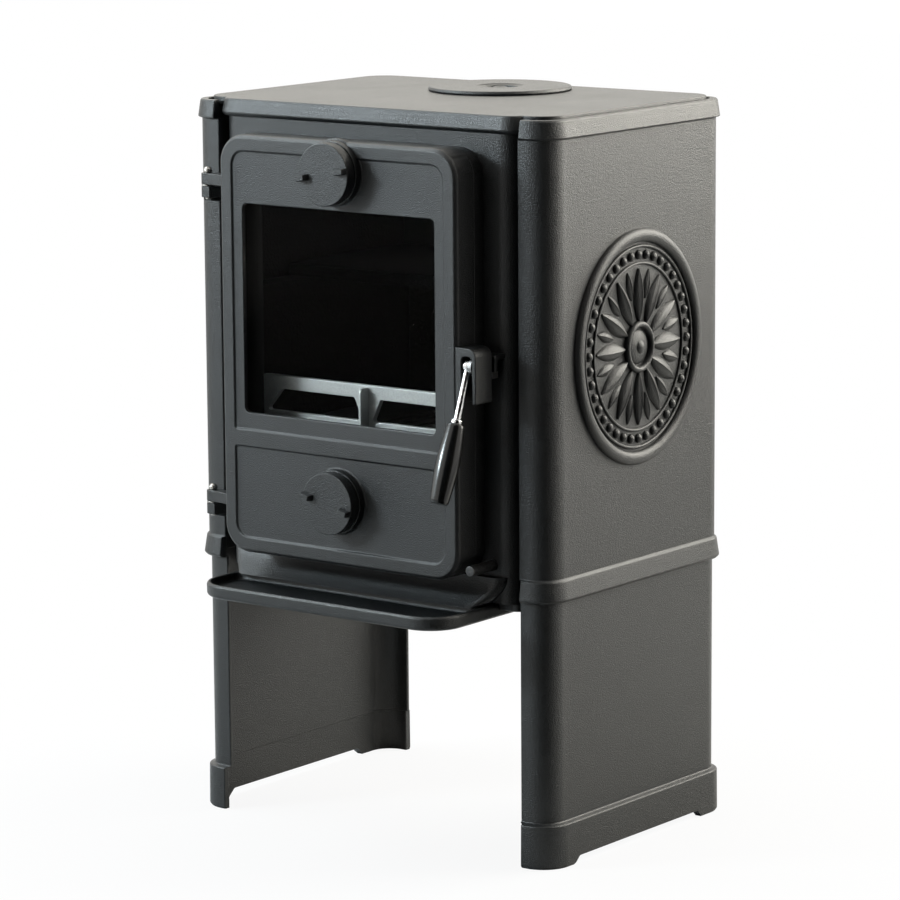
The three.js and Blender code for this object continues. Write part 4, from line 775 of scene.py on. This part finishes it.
# ------------------------------------------------------------------- ash lip
# The hearth casting carries the firebox and runs out in front as a shallow tray that
# catches ash: a round-cornered rim with an ear at each end, and a floor below it.
LIP_HALF, LIP_FRONT, LIP_BACK = 151.0, -86.0, 277.0
LIP_LOW, LIP_TOP = heights("hearth_plate")[0], 250.2


def lip(inset, back, front_corner, back_corner):
    half = LIP_HALF - inset
    return box_outline(-half, half, LIP_FRONT + inset, back, front_corner, back_corner, 14)


lip_edge = eased([
    (LIP_LOW, 3.0), (LIP_LOW + 2.4, 0.2), (LIP_TOP - 2.0, 0.0), (LIP_TOP, 1.4), (LIP_TOP, 2.2),
], 1.8, 5)
tray = layered("tray", [(z, lip(inset, LIP_BACK - inset, 36 - inset, 6 - inset)) for z, inset in lip_edge])
trough_levels = [
    (LIP_LOW + 6.0, lip(8.0, -22.5, 28, 7)), (LIP_LOW + 7.0, lip(6.0, -20.5, 30, 9)),
    (LIP_LOW + 9.0, lip(4.9, -19.4, 31, 10)), (LIP_TOP + 2, lip(4.2, -18.6, 31.8, 10.6)),
]
trough = layered("trough", trough_levels)
under_lip = box_outline(-LIP_HALF + 6, LIP_HALF - 6, -13, LIP_BACK - 6, 3, 3, 4)
underside = block("underside", under_lip, LIP_LOW - 2, LIP_LOW + 7.6)
cut(tray, trough, underside)
soften(tray, 1.3, 3)
slab = block("slab", box_outline(-BODY_HALF, BODY_HALF, 8.3, 285, 10, 2, 10), 244.1, 251.7)
soften(slab, 0.8)
runner_side = box_outline(28, 248, 250.7, 293.7, 1.0, 1.0, 3)
runners = [plate("runner", [runner_side], x - 4, x + 4, 0.5, "X") for x in (-100, 100)]
rod_guide = plate("rod_guide", [
    rounded([(142, 250.7, 0), (158, 250.7, 0), (158, 296.5, 5), (142, 296.5, 5)], 6),
    circle(150, 288.5, 5.5, 28),
], 60, 70, 0.8, "Y")
piece(join("hearth", tray, slab, *runners, rod_guide), "hearth_and_ash_lip", ["hearth_plate"])

# --------------------------------------------------------------- log guard
# A cast bar stands behind the glass and keeps the fuel off it. Its two splayed slots
# let air in low down, and a fin in the middle stiffens it.
guard_iron = grained("guard_iron", (0.36, 0.365, 0.36), (0.48, 0.485, 0.47), 0.34, 0.48, 0.05, 800.0, 0.3, 20.0)


def guard_slot(side):
    outline = rounded([(16, 433, 2), (106, 433, 3), (125, 411, 2), (6, 411, 2)], 5)
    return [(side * x, z) for x, z in outline]


guard_plate = plate("guard_plate", [
    box_outline(-129, 129, 390.3, 446, 1, 2, 8), guard_slot(1), guard_slot(-1),
], 2, 8, 0.6, "Y")
guard_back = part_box("log_guard")[1].y * 1000 - front_y
guard_toe = plate("guard_toe", [box_outline(-129, 129, 7, 22, 0.8, 2, 4)], 390.3, 398.3, 0.8, "Z")
fin_side = rounded([(3, 392.3, 0), (3, 444, 0), (-10, 444, 5), (-10, 392.3, 2)], 6)
guard_fin = plate("guard_fin", [fin_side], -1.5, 1.5, 0.7, "X")
for vertex in guard_toe.data.vertices:
    if vertex.co.y > to_metres(0, 10, 0)[1]:
        vertex.co.y += (guard_back - 22) / 1000
piece(join("guard", guard_plate, guard_toe, guard_fin), "log_guard_bar", ["log_guard"],
      "stove_body", guard_iron)

# --------------------------------------------------------------------- door
# A deep cast door with a wide soft edge and two sunk panels. The upper panel frames the
# glass, and both carry the seat of an air valve. Hinge knuckles and the housing of
# the latch are cast on.
DOOR_HALF, DOOR_LOW, DOOR_HIGH, DOOR_CORNER = 142.7, 277.0, 684.0, 28.0
DOOR_FACE, DOOR_BACK = -45.0, -16.0
FIELD_HALF, FIELD_Y = 127.8, -43.0
VALVE_HEIGHTS = {"upper": 654.0, "lower": 340.0}


def door_outline(inset):
    half = DOOR_HALF - inset
    return box_outline(-half, half, DOOR_LOW + inset, DOOR_HIGH - inset, DOOR_CORNER - inset, steps=14)


door_edge = eased([
    (DOOR_FACE, 5.4), (DOOR_FACE, 3.2), (DOOR_FACE + 3.0, 0.0), (DOOR_BACK - 1.2, 0.0), (DOOR_BACK, 1.0),
    (DOOR_BACK, 2.0),
], 2.4, 6)
door_skin = layered("door_skin", [(y, door_outline(inset)) for y, inset in door_edge], "Y")
door_hollow = block("door_hollow", door_outline(12), DOOR_FACE + 8, DOOR_BACK + 4, "Y")


def field(low, high, low_corner, high_corner):
    def level(inset):
        return box_outline(
            -FIELD_HALF + inset, FIELD_HALF - inset, low + inset, high - inset,
            max(low_corner - inset, 0.8), max(high_corner - inset, 0.8), steps=10,
        )
    return layered("field", [(FIELD_Y, level(1.1)), (DOOR_FACE - 2, level(-1.1))], "Y")


window_tool = block("window_tool", box_outline(-115.8, 115.8, 415, 618, 5.5), DOOR_FACE - 4, DOOR_BACK + 4, "Y")
cut(door_skin, door_hollow, field(398, 669.1, 3, 15), field(291.9, 382.5, 15, 3), window_tool)
soften(door_skin, 0.9, 3, 30)
latch_outline = rounded([
    (140.7, 448, 0), (148.2, 448, 1.5), (148.2, 492.7, 4), (160, 492.7, 4), (160, 448, 1.5), (164.6, 448, 2),
    (164.6, 500.8, 9), (140.7, 500.8, 0),
], 8)
latch_house = plate("latch_house", [latch_outline], DOOR_FACE, -19, 1.4, "Y")


def valve_seat(height):
    front = FIELD_Y - 8
    back = DOOR_FACE + 7
    wall = turned("seat_wall", [
        (26, back), (26, front + 0.8), (26.6, front + 0.15), (27.2, front), (30.0, front), (30.7, front + 0.2),
        (31, front + 0.9), (31, FIELD_Y - 1.6), (31.5, FIELD_Y - 0.6), (32.6, FIELD_Y), (32.6, back),
        (26, back),
    ], 0, 0, height, "Y", 96)
    hub = turned("seat_hub", [
        (4.3, -18), (4.3, front), (7.4, front), (8, front + 0.6), (8, -18), (4.3, -18),
    ], 0, 0, height, "Y", 48)
    return [wall, hub]


door_knuckle_root = [
    (HINGE_X + KNUCKLE_RADIUS, HINGE_Y - KNUCKLE_RADIUS), (-DOOR_HALF + 2, -29), (-DOOR_HALF + 2, -17),
    (HINGE_X + KNUCKLE_RADIUS, HINGE_Y + KNUCKLE_RADIUS),
]
door_knuckles = [
    knuckle("door_knuckle", top + 1.8, top + 12.8, door_knuckle_root) for top in knuckle_tops
]
seats = [shell for height in VALVE_HEIGHTS.values() for shell in valve_seat(height)]
# Four millimetres behind the door's face the paint turns black, with soot and painted shade.
piece(join("door", door_skin, latch_house, *door_knuckles, *seats), "door_iron", ["door_casting"],
      "door_body", sooted_and_shaded("door_paint", DOOR_FACE + 4.0))

# ------------------------------------------------------------- air valves
# Each air valve is a thick turned iron disc that screws in and out on a stud. Two
# tapered finger ribs stand on its face, close to the rim, to turn it by.
VALVE_FACE, VALVE_BACK, VALVE_RADIUS = -63.0, -51.3, 30.0


def finger_rib():
    outer = VALVE_RADIUS - 0.8
    levels = []
    for k in range(9):
        share = k / 8
        width = 3.1 * (1 - 0.35 * share ** 1.6)
        length_out, length_in = outer - 0.7 * share ** 1.5, outer - 12.6 + 2.2 * share
        levels.append((VALVE_FACE + 0.8 - 7.9 * math.sin(math.pi / 2 * share), box_outline(
            length_in, length_out, -width, width, min(width * 0.6, 1.2), steps=5,
        )))
    return layered("finger_rib", levels, "Y")


for side, turn in (("upper", 10.0), ("lower", -14.0)):
    disc = turned("disc", [
        (0, VALVE_BACK), (28.6, VALVE_BACK), (29.7, VALVE_BACK - 0.5), (30, VALVE_BACK - 1.4),
        (30, VALVE_FACE + 1.5), (29.85, VALVE_FACE + 0.7), (29.4, VALVE_FACE + 0.15), (28.8, VALVE_FACE),
        (0, VALVE_FACE),
    ], 0, 0, 0, "Y", 112)
    right_rib = finger_rib()
    left_rib = mirrored(right_rib, "left_rib")
    whole = join("whole_disc", disc, right_rib, left_rib)
    raised = Matrix.Translation((0, 0, VALVE_HEIGHTS[side] / 1000))
    whole.data.transform(raised @ Matrix.Rotation(-math.radians(turn), 4, "Y"))
    piece(whole, f"{side}_air_valve", [f"{side}_valve_disc"], f"{side}_disc_body")

# ------------------------------------------------------------- hinge pins
# The door hangs on two loose steel pins with domed heads, dropped through the knuckles.
# A steel washer between the knuckles carries the weight.
pin_steel = grained("pin_steel", (0.30, 0.29, 0.27), (0.48, 0.465, 0.44), 0.2, 0.34, 0.03, 900.0, 1.0, 60.0)
hinge_axis = (HINGE_X, HINGE_Y, 0, "Z", 40)
for side in ("upper", "lower"):
    low, high = heights(f"{side}_hinge_pin")
    pin = turned("pin", [
        (0, low), (2.4, low), (3.0, low + 0.7), (3.0, high - 5.8), (4.0, high - 5.6), (4.3, high - 5.0),
        (4.3, high - 3.2), (3.9, high - 1.6), (2.9, high - 0.5), (1.6, high), (0, high),
    ], *hinge_axis)
    piece(pin, f"{side}_pin", [f"{side}_hinge_pin"], "stove_body", pin_steel)
    low, high = heights(f"{side}_hinge_washer")
    washer = turned("washer", [
        (3.3, low), (6.3, low), (6.5, low + 0.2), (6.5, high - 0.2), (6.3, high), (3.3, high), (3.3, low),
    ], *hinge_axis)
    piece(washer, f"{side}_pin_washer", [f"{side}_hinge_washer"], "stove_body", pin_steel)

# -------------------------------------------------------------- riddling rod
# A round steel bar runs back beside the ash pan and turns up into the arm of the grate.
# Its end stands out at the right-hand foot of the door. The bar is coloured dark.
rod_steel = grained("rod_steel", (0.035, 0.035, 0.036), (0.11, 0.11, 0.108), 0.34, 0.5, 0.05, 500.0, 0.7, 50.0)
ROD_X, ROD_Z, ROD_RADIUS, ROD_TURN = 150.0, 288.5, 5.2, 142.5
rod_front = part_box("riddling_rod")[0].y * 1000 - front_y
rod_top = heights("riddling_rod")[1]
riddling_bar = turned("riddling_bar", [
    (0, rod_front), (3.9, rod_front), (4.8, rod_front + 0.4), (ROD_RADIUS, rod_front + 1.3),
    (ROD_RADIUS, ROD_TURN), (4.5, ROD_TURN + 2.6), (2.6, ROD_TURN + 4.5), (0, ROD_TURN + ROD_RADIUS),
], ROD_X, 0, ROD_Z, "Y", 48)
riddling_upright = turned("riddling_upright", [
    (0, ROD_Z - 3), (ROD_RADIUS, ROD_Z - 3), (ROD_RADIUS, rod_top - 9.2), (4.8, rod_top - 8.4),
    (4, rod_top - 8.3), (4, rod_top - 0.6), (3.4, rod_top), (0, rod_top),
], ROD_X, ROD_TURN, 0, steps=48)
fuse(riddling_bar, riddling_upright)
piece(riddling_bar, "riddling_pull", ["riddling_rod"], "rod_body", rod_steel)

# ---------------------------------------------------------- rear flue spigot
# A short cast collar takes the flue pipe at the back. Two hexagon-headed bolts hold its
# flange to the back of the firebox.
BACK_FACE, SPIGOT_Z, SPIGOT_BOLT_X = 285.3, 600.0, 73.0
spigot = turned("spigot", [
    (56, 0), (83.2, 0), (84, 0.8), (84, 7.0), (83.6, 7.7), (82.8, 8.0), (62.4, 8.0), (61.0, 8.6), (60.2, 10.4),
    (60, 12), (60, 38.4), (59.6, 39.5), (58.8, 40), (57.0, 40), (56.2, 39.6), (56, 39), (56, 0),
], 0, BACK_FACE, SPIGOT_Z, "Y", 128)
cut(spigot, *[
    block("bolt_hole", circle(side * SPIGOT_BOLT_X, SPIGOT_Z, 4.3, 32), BACK_FACE - 2, BACK_FACE + 12, "Y")
    for side in (-1, 1)
])
piece(spigot, "flue_spigot", ["rear_flue_spigot"])
for side, name in ((1, "right"), (-1, "left")):
    head, tip = BACK_FACE + 8.3, BACK_FACE - 10.3
    hexagon = [circle(0, 0, radius, 6) for radius in (7.5, 7.5, 7.2, 6.4)]
    bolt_head = layered("bolt_head", list(zip((head, head + 4.3, head + 5.0, head + 5.5), hexagon)), "Y")
    shank_line = [(0, tip), (3.4, tip), (4.0, tip + 0.7), (4.0, head + 1), (0, head + 1)]
    shank = turned("shank", shank_line, 0, 0, 0, "Y", 32)
    bolt = join("spigot_bolt", bolt_head, shank)
    bolt.data.transform(Matrix.Translation((side * SPIGOT_BOLT_X / 1000, 0, SPIGOT_Z / 1000)))
    piece(bolt, f"{name}_spigot_screw", [f"{name}_spigot_bolt"], "stove_body", steel)

# ------------------------------------------------------------------ handle
# The latch is a flat steel lever on a cross pin. A plated rod with a ball end hangs
# from it at a lean, and ends in a black turned grip behind a plated ferrule.
HANDLE_X, PIVOT_Y, PIVOT_Z, LEAN = 152.0, -38.8, 483.2, math.radians(20.9)
chrome = grained("chrome_plate", (0.62, 0.62, 0.62), (0.78, 0.78, 0.78), 0.08, 0.2, 0.12, 420.0, 1.0, 90.0)
grip_black = grained(
    "grip_black", (0.006, 0.006, 0.006), (0.014, 0.014, 0.014), 0.16, 0.26, 0.015, 300.0, 0.0, 40.0,
)


def hang(obj):
    """Leans a piece drawn hanging straight down from the pivot."""
    pivot = Vector(to_metres(HANDLE_X, PIVOT_Y, PIVOT_Z))
    lean = Matrix.Translation(pivot) @ Matrix.Rotation(-LEAN, 4, "X") @ Matrix.Translation(-pivot)
    obj.data.transform(lean)
    return obj


def on_pivot(name, profile, steps=40):
    return turned(name, profile, HANDLE_X, PIVOT_Y, PIVOT_Z, steps=steps)


rod = on_pivot("rod", [(0, -71.7), (3.4, -71.7), (3.4, -5.0), (0, -5.0)])
ball = on_pivot("ball", [
    (6.2 * math.cos(math.radians(a)), 6.2 * math.sin(math.radians(a))) for a in range(-90, 91, 10)
])
for vertex in ball.data.vertices:
    vertex.co.x = min(max(vertex.co.x, (HANDLE_X - 3.2) / 1000), (HANDLE_X + 3.2) / 1000)
piece(join("rod_and_ball", hang(rod), ball), "latch_rod", ["handle_rod"], "handle_body", chrome)
ferrule = on_pivot("ferrule", [
    (3.7, -55), (4.9, -55), (5.4, -54.6), (5.4, -52.2), (5.0, -51.4), (4.4, -51), (3.7, -51), (3.7, -55),
], 48)
piece(hang(ferrule), "grip_ferrule", ["handle_ferrule"], "handle_body", chrome)
grip_top = -55.3
grip_line = [
    (7.0, 0.0), (7.9, 0.6), (8.5, 1.7), (8.9, 4.0), (9.6, 10.0), (10.5, 19.0), (11.2, 28.0), (11.5, 37.0),
    (11.3, 46.0), (10.8, 54.0), (10.2, 61.0), (9.5, 68.0), (9.05, 72.5), (8.6, 74.6), (7.6, 75.8), (6.4, 76.0),
    (0, 76.0),
]
grip_profile = [(3.7, grip_top - 17), (3.7, grip_top)] + [(r, grip_top - d) for r, d in grip_line]
grip = hang(on_pivot("grip", grip_profile, 72))
piece(grip, "latch_grip", ["handle_grip"], "handle_body", grip_black)

# ------------------------------------------------------------------- window
# A pane of clear heat-proof glass sits in a rope seal behind the door, held by two
# thin steel strips. Smoke has left a faint, patchy veil on it.
glass, glass_tree, pane = new_material(
    "stove_glass", Transmission_Weight=1.0, IOR=1.18, Specular_Tint=(0.06, 0.06, 0.06, 1),
)
veil_place = node(glass_tree, "ShaderNodeTexCoord")
veil = node(glass_tree, "ShaderNodeTexNoise", {"Scale": 9.0, "Detail": 3.0})
veil_colour = node(
    glass_tree, "ShaderNodeMix", {"A": (0.78, 0.77, 0.75, 1), "B": (0.9, 0.9, 0.89, 1)}, data_type="RGBA",
)
veil_tone = node(glass_tree, "ShaderNodeMapRange", {"To Min": 0.0, "To Max": 0.004})
pane_path = node(glass_tree, "ShaderNodeLightPath")
pane_clear = node(glass_tree, "ShaderNodeBsdfTransparent")
pane_mix = node(glass_tree, "ShaderNodeMixShader")
wire(
    glass_tree,
    (veil_place, "Object", veil, "Vector"), (veil, "Fac", veil_colour, "Factor"),
    (veil_colour, "Result", pane, "Base Color"), (veil, "Fac", veil_tone, "Value"),
    (veil_tone, "Result", pane, "Roughness"), (pane_path, "Is Shadow Ray", pane_mix, "Fac"),
    (pane, 0, pane_mix, 1), (pane_clear, 0, pane_mix, 2),
    (pane_mix, 0, glass_tree.nodes["Material Output"], "Surface"),
)

# ------------------------------------------------------------- inside parts
# Bricks line the firebox, a baffle hangs over them, and a cast frame carries the
# turning grate above the ash pan. All of it is dark with soot, and the bricks and the
# sooty iron are painted darker still as the shade inside the closed firebox.
firebrick = grained(
    "sooty_shaded_firebrick", (0.0016, 0.0013, 0.0011), (0.0075, 0.006, 0.0048), 0.85, 0.95, 0.5, 260.0, cloud=9.0,
    gloss=0.04,
)
inner_iron = grained(
    "sooty_shaded_iron", (0.0008, 0.0008, 0.0008), (0.0024, 0.0022, 0.0021), 0.85, 0.95, 0.3, 420.0, gloss=0.03,
)
grate_iron = grained("grate_iron", (0.02, 0.019, 0.018), (0.05, 0.046, 0.043), 0.55, 0.72, 0.5, 420.0)
pan_steel = grained("pan_steel", (0.10, 0.10, 0.10), (0.19, 0.188, 0.185), 0.38, 0.55, 0.05, 700.0, 0.8, 24.0)
rope = grained("rope_seal", (0.010, 0.010, 0.0095), (0.032, 0.031, 0.030), 0.85, 0.95, 0.6, 900.0, gloss=0.2)
finish_of = {
    "cast_iron": stove_paint, "grate_iron": grate_iron, "steel": steel, "chrome": chrome,
    "pan_steel": pan_steel, "grip": grip_black, "rope": rope, "glass": glass, "firebrick": firebrick,
}
slots = {row["node"]: row["material_slot"] for row in frame["record"]["subparts"]}
# Parts that sit in shade, inside the firebox, under the hotplate, in the latch housing and round the glass,
# take the near-black sooty iron as painted shade.
soot_and_shade_parts = {
    "baffle_plate", "latch_pivot_pin", "right_firebox_wall", "left_firebox_wall", "flue_cover_clamp",
    "glass_seal", "glass_retainer_top", "glass_retainer_bottom",
}
for name, solid in frame["nodes"].items():
    if solid.hide_render:
        continue
    finish = inner_iron if name in soot_and_shade_parts else finish_of[slots[name]]
    if not solid.material_slots:
        solid.data.materials.append(finish)
    for holder in solid.material_slots:
        holder.material = finish

# ---------------------------------------------------------- floor and light
# A plain white floor and a white surround. Large soft lights stand to the front left,
# behind to the right and overhead, and a black card keeps the side towards the camera
# dark. Only reflections and the camera see the surround as pure white.
STAGE_SIZE = 9.0


def flat_piece(name, corners, material):
    obj = mesh_object(name, corners, [(0, 1, 2, 3)], placed=False)
    obj.data.materials.append(material)
    return obj


def background_rays(tree):
    """One where a ray comes from the camera, a reflection or through glass, and hasn't
    been scattered by a surface on its way."""
    path = node(tree, "ShaderNodeLightPath")
    first = node(tree, "ShaderNodeMath", operation="MAXIMUM")
    second = node(tree, "ShaderNodeMath", operation="MAXIMUM")
    unscattered = node(tree, "ShaderNodeMath", {1: 0.5}, operation="LESS_THAN")
    seen = node(tree, "ShaderNodeMath", operation="MULTIPLY")
    wire(
        tree,
        (path, "Is Camera Ray", first, 0), (path, "Is Glossy Ray", first, 1),
        (first, 0, second, 0), (path, "Is Transmission Ray", second, 1),
        (path, "Diffuse Depth", unscattered, 0), (second, 0, seen, 0),
        (unscattered, 0, seen, 1),
    )
    return seen


floor_paint, floor_tree, floor_surface = new_material(
    "floor_paint", Base_Color=(0.6, 0.6, 0.6, 1), Roughness=0.9,
)
floor_white = node(floor_tree, "ShaderNodeEmission", {"Strength": 1.0})
floor_reach = node(floor_tree, "ShaderNodeVectorMath", operation="LENGTH")
floor_fade = node(floor_tree, "ShaderNodeMapRange", {
    "From Min": 0.1, "From Max": 0.75, "To Min": 0.9, "To Max": 1.0,
}, interpolation_type="SMOOTHSTEP")
floor_near = node(floor_tree, "ShaderNodeMapRange", {
    "From Min": 0.4, "From Max": 6.2,
}, interpolation_type="SMOOTHSTEP")
floor_mirrored = node(floor_tree, "ShaderNodeMix")
floor_share = node(floor_tree, "ShaderNodeMath", operation="MULTIPLY")
floor_mix = node(floor_tree, "ShaderNodeMixShader")
wire(
    floor_tree,
    (node(floor_tree, "ShaderNodeTexCoord"), "Object", floor_reach, 0),
    (floor_reach, "Value", floor_fade, "Value"), (floor_reach, "Value", floor_near, "Value"),
    (node(floor_tree, "ShaderNodeLightPath"), "Is Glossy Ray", floor_mirrored, "Factor"),
    (floor_fade, "Result", floor_mirrored, "A"), (floor_near, "Result", floor_mirrored, "B"),
    (background_rays(floor_tree), 0, floor_share, 0),
    (floor_mirrored, "Result", floor_share, 1), (floor_share, 0, floor_mix, "Fac"),
    (floor_surface, 0, floor_mix, 1), (floor_white, 0, floor_mix, 2),
    (floor_mix, 0, floor_tree.nodes["Material Output"], "Surface"),
)
flat_piece("floor", [
    (-STAGE_SIZE, -STAGE_SIZE, 0), (STAGE_SIZE, -STAGE_SIZE, 0), (STAGE_SIZE, STAGE_SIZE, 0),
    (-STAGE_SIZE, STAGE_SIZE, 0),
], floor_paint)

world = bpy.data.worlds.new("surround")
bpy.context.scene.world = world
world.use_nodes = True
world_tree = world.node_tree
plain = world_tree.nodes["Background"]
plain.inputs["Color"].default_value = (1, 1, 1, 1)
plain.inputs["Strength"].default_value = 0.035
white = node(world_tree, "ShaderNodeBackground", {"Strength": 1.07, "Color": (1.0, 0.98, 0.935, 1)})
world_mix = node(world_tree, "ShaderNodeMixShader")
wire(
    world_tree,
    (background_rays(world_tree), 0, world_mix, "Fac"),
    (plain, 0, world_mix, 1), (white, 0, world_mix, 2),
    (world_mix, 0, world_tree.nodes["World Output"], "Surface"),
)


def softbox(name, azimuth, distance, height, width, tall, strength, colour=(1, 1, 1), aim=(0, 0, 0.4)):
    """A flat soft light. Azimuth 0 is straight in front of the stove, 90 its right side.
    Strength is its brightness, where 1 looks white."""
    light = bpy.data.lights.new(name, "AREA")
    light.shape = "RECTANGLE"
    light.size, light.size_y = width, tall
    light.energy = strength * width * tall * math.pi
    light.color = colour
    lamp = scene_object(name, light)
    turn = math.radians(azimuth)
    lamp.location = (distance * math.sin(turn), -distance * math.cos(turn), height)
    lamp.rotation_euler = (Vector(aim) - lamp.location).to_track_quat("-Z", "Y").to_euler()
    lamp.visible_camera = False


softbox("front_left_light", -55, 2.2, 1.3, 1.5, 1.8, 1.5, (0.88, 0.97, 1.0))
softbox("front_strip_light", -40, 2.0, 1.24, 0.55, 0.3, 75.0, (0.8, 0.93, 1.0), (0, 0, 0.6))
softbox("left_top_light", -75, 1.5, 2.2, 1.1, 0.8, 10.0, (0.82, 0.94, 1.0), (0, 0, 0.6))
softbox("right_back_light", 143, 1.7, 1.24, 1.4, 1.4, 11.8, (1.0, 0.965, 0.87), (0, 0, 0.65))
softbox("overhead_light", 217, 1.8, 1.9, 2.4, 1.4, 1.5, (1.0, 0.955, 0.84), (0, 0, 0.7))

card_paint = new_material("black_card", Base_Color=(0.002, 0.002, 0.002, 1), Specular_IOR_Level=0.0)[0]
CARD_AZIMUTH, CARD_NEAR, CARD_FAR = math.radians(48), 0.38, 1.5
CARD_HALF, CARD_NARROW, CARD_HIGH, CARD_LIFT = 0.95, 0.2, 2.2, 0.002
card_x, card_y = math.sin(CARD_AZIMUTH), -math.cos(CARD_AZIMUTH)


def card_corner(reach, side, z):
    return (card_x * reach + card_y * side, card_y * reach - card_x * side, z)


for name, corners in (
    ("upright_card", [
        (CARD_FAR, -CARD_HALF, CARD_LIFT), (CARD_FAR, CARD_HALF, CARD_LIFT), (CARD_FAR, CARD_HALF, CARD_HIGH),
        (CARD_FAR, -CARD_HALF, CARD_HIGH),
    ]),
    ("floor_card", [
        (CARD_NEAR, -CARD_NARROW, CARD_LIFT), (CARD_NEAR, CARD_NARROW, CARD_LIFT),
        (CARD_FAR, CARD_HALF, CARD_LIFT), (CARD_FAR, -CARD_HALF, CARD_LIFT),
    ]),
):
    card = flat_piece(name, [card_corner(*corner) for corner in corners], card_paint)
    card.visible_camera = False
    card.visible_shadow = False

# ------------------------------------------------------------------- camera
# It stands to the right of the stove, a little above it, and far enough away for the
# stove's uprights to stay nearly upright.
camera = bpy.data.cameras.new("camera")
camera.lens = 165.77
camera.sensor_width = 36.0
viewer = scene_object("camera", camera)
viewer_place = Vector((2.436, -3.1822, 1.0772))
azimuth, pitch, roll = math.radians(37.303), math.radians(10.058), math.radians(-0.401)
forward = Vector((
    -math.sin(azimuth) * math.cos(pitch), math.cos(azimuth) * math.cos(pitch), -math.sin(pitch),
))
right = Vector((math.cos(azimuth), math.sin(azimuth), 0))
up = right.cross(forward)
right_rolled = right * math.cos(roll) + up * math.sin(roll)
up_rolled = right_rolled.cross(forward)
turned_to = Matrix((right_rolled, up_rolled, -forward)).transposed()
viewer.matrix_world = Matrix.Translation(viewer_place) @ turned_to.to_4x4()
bpy.context.scene.camera = viewer
bpy.context.scene.view_settings.view_transform = "Standard"
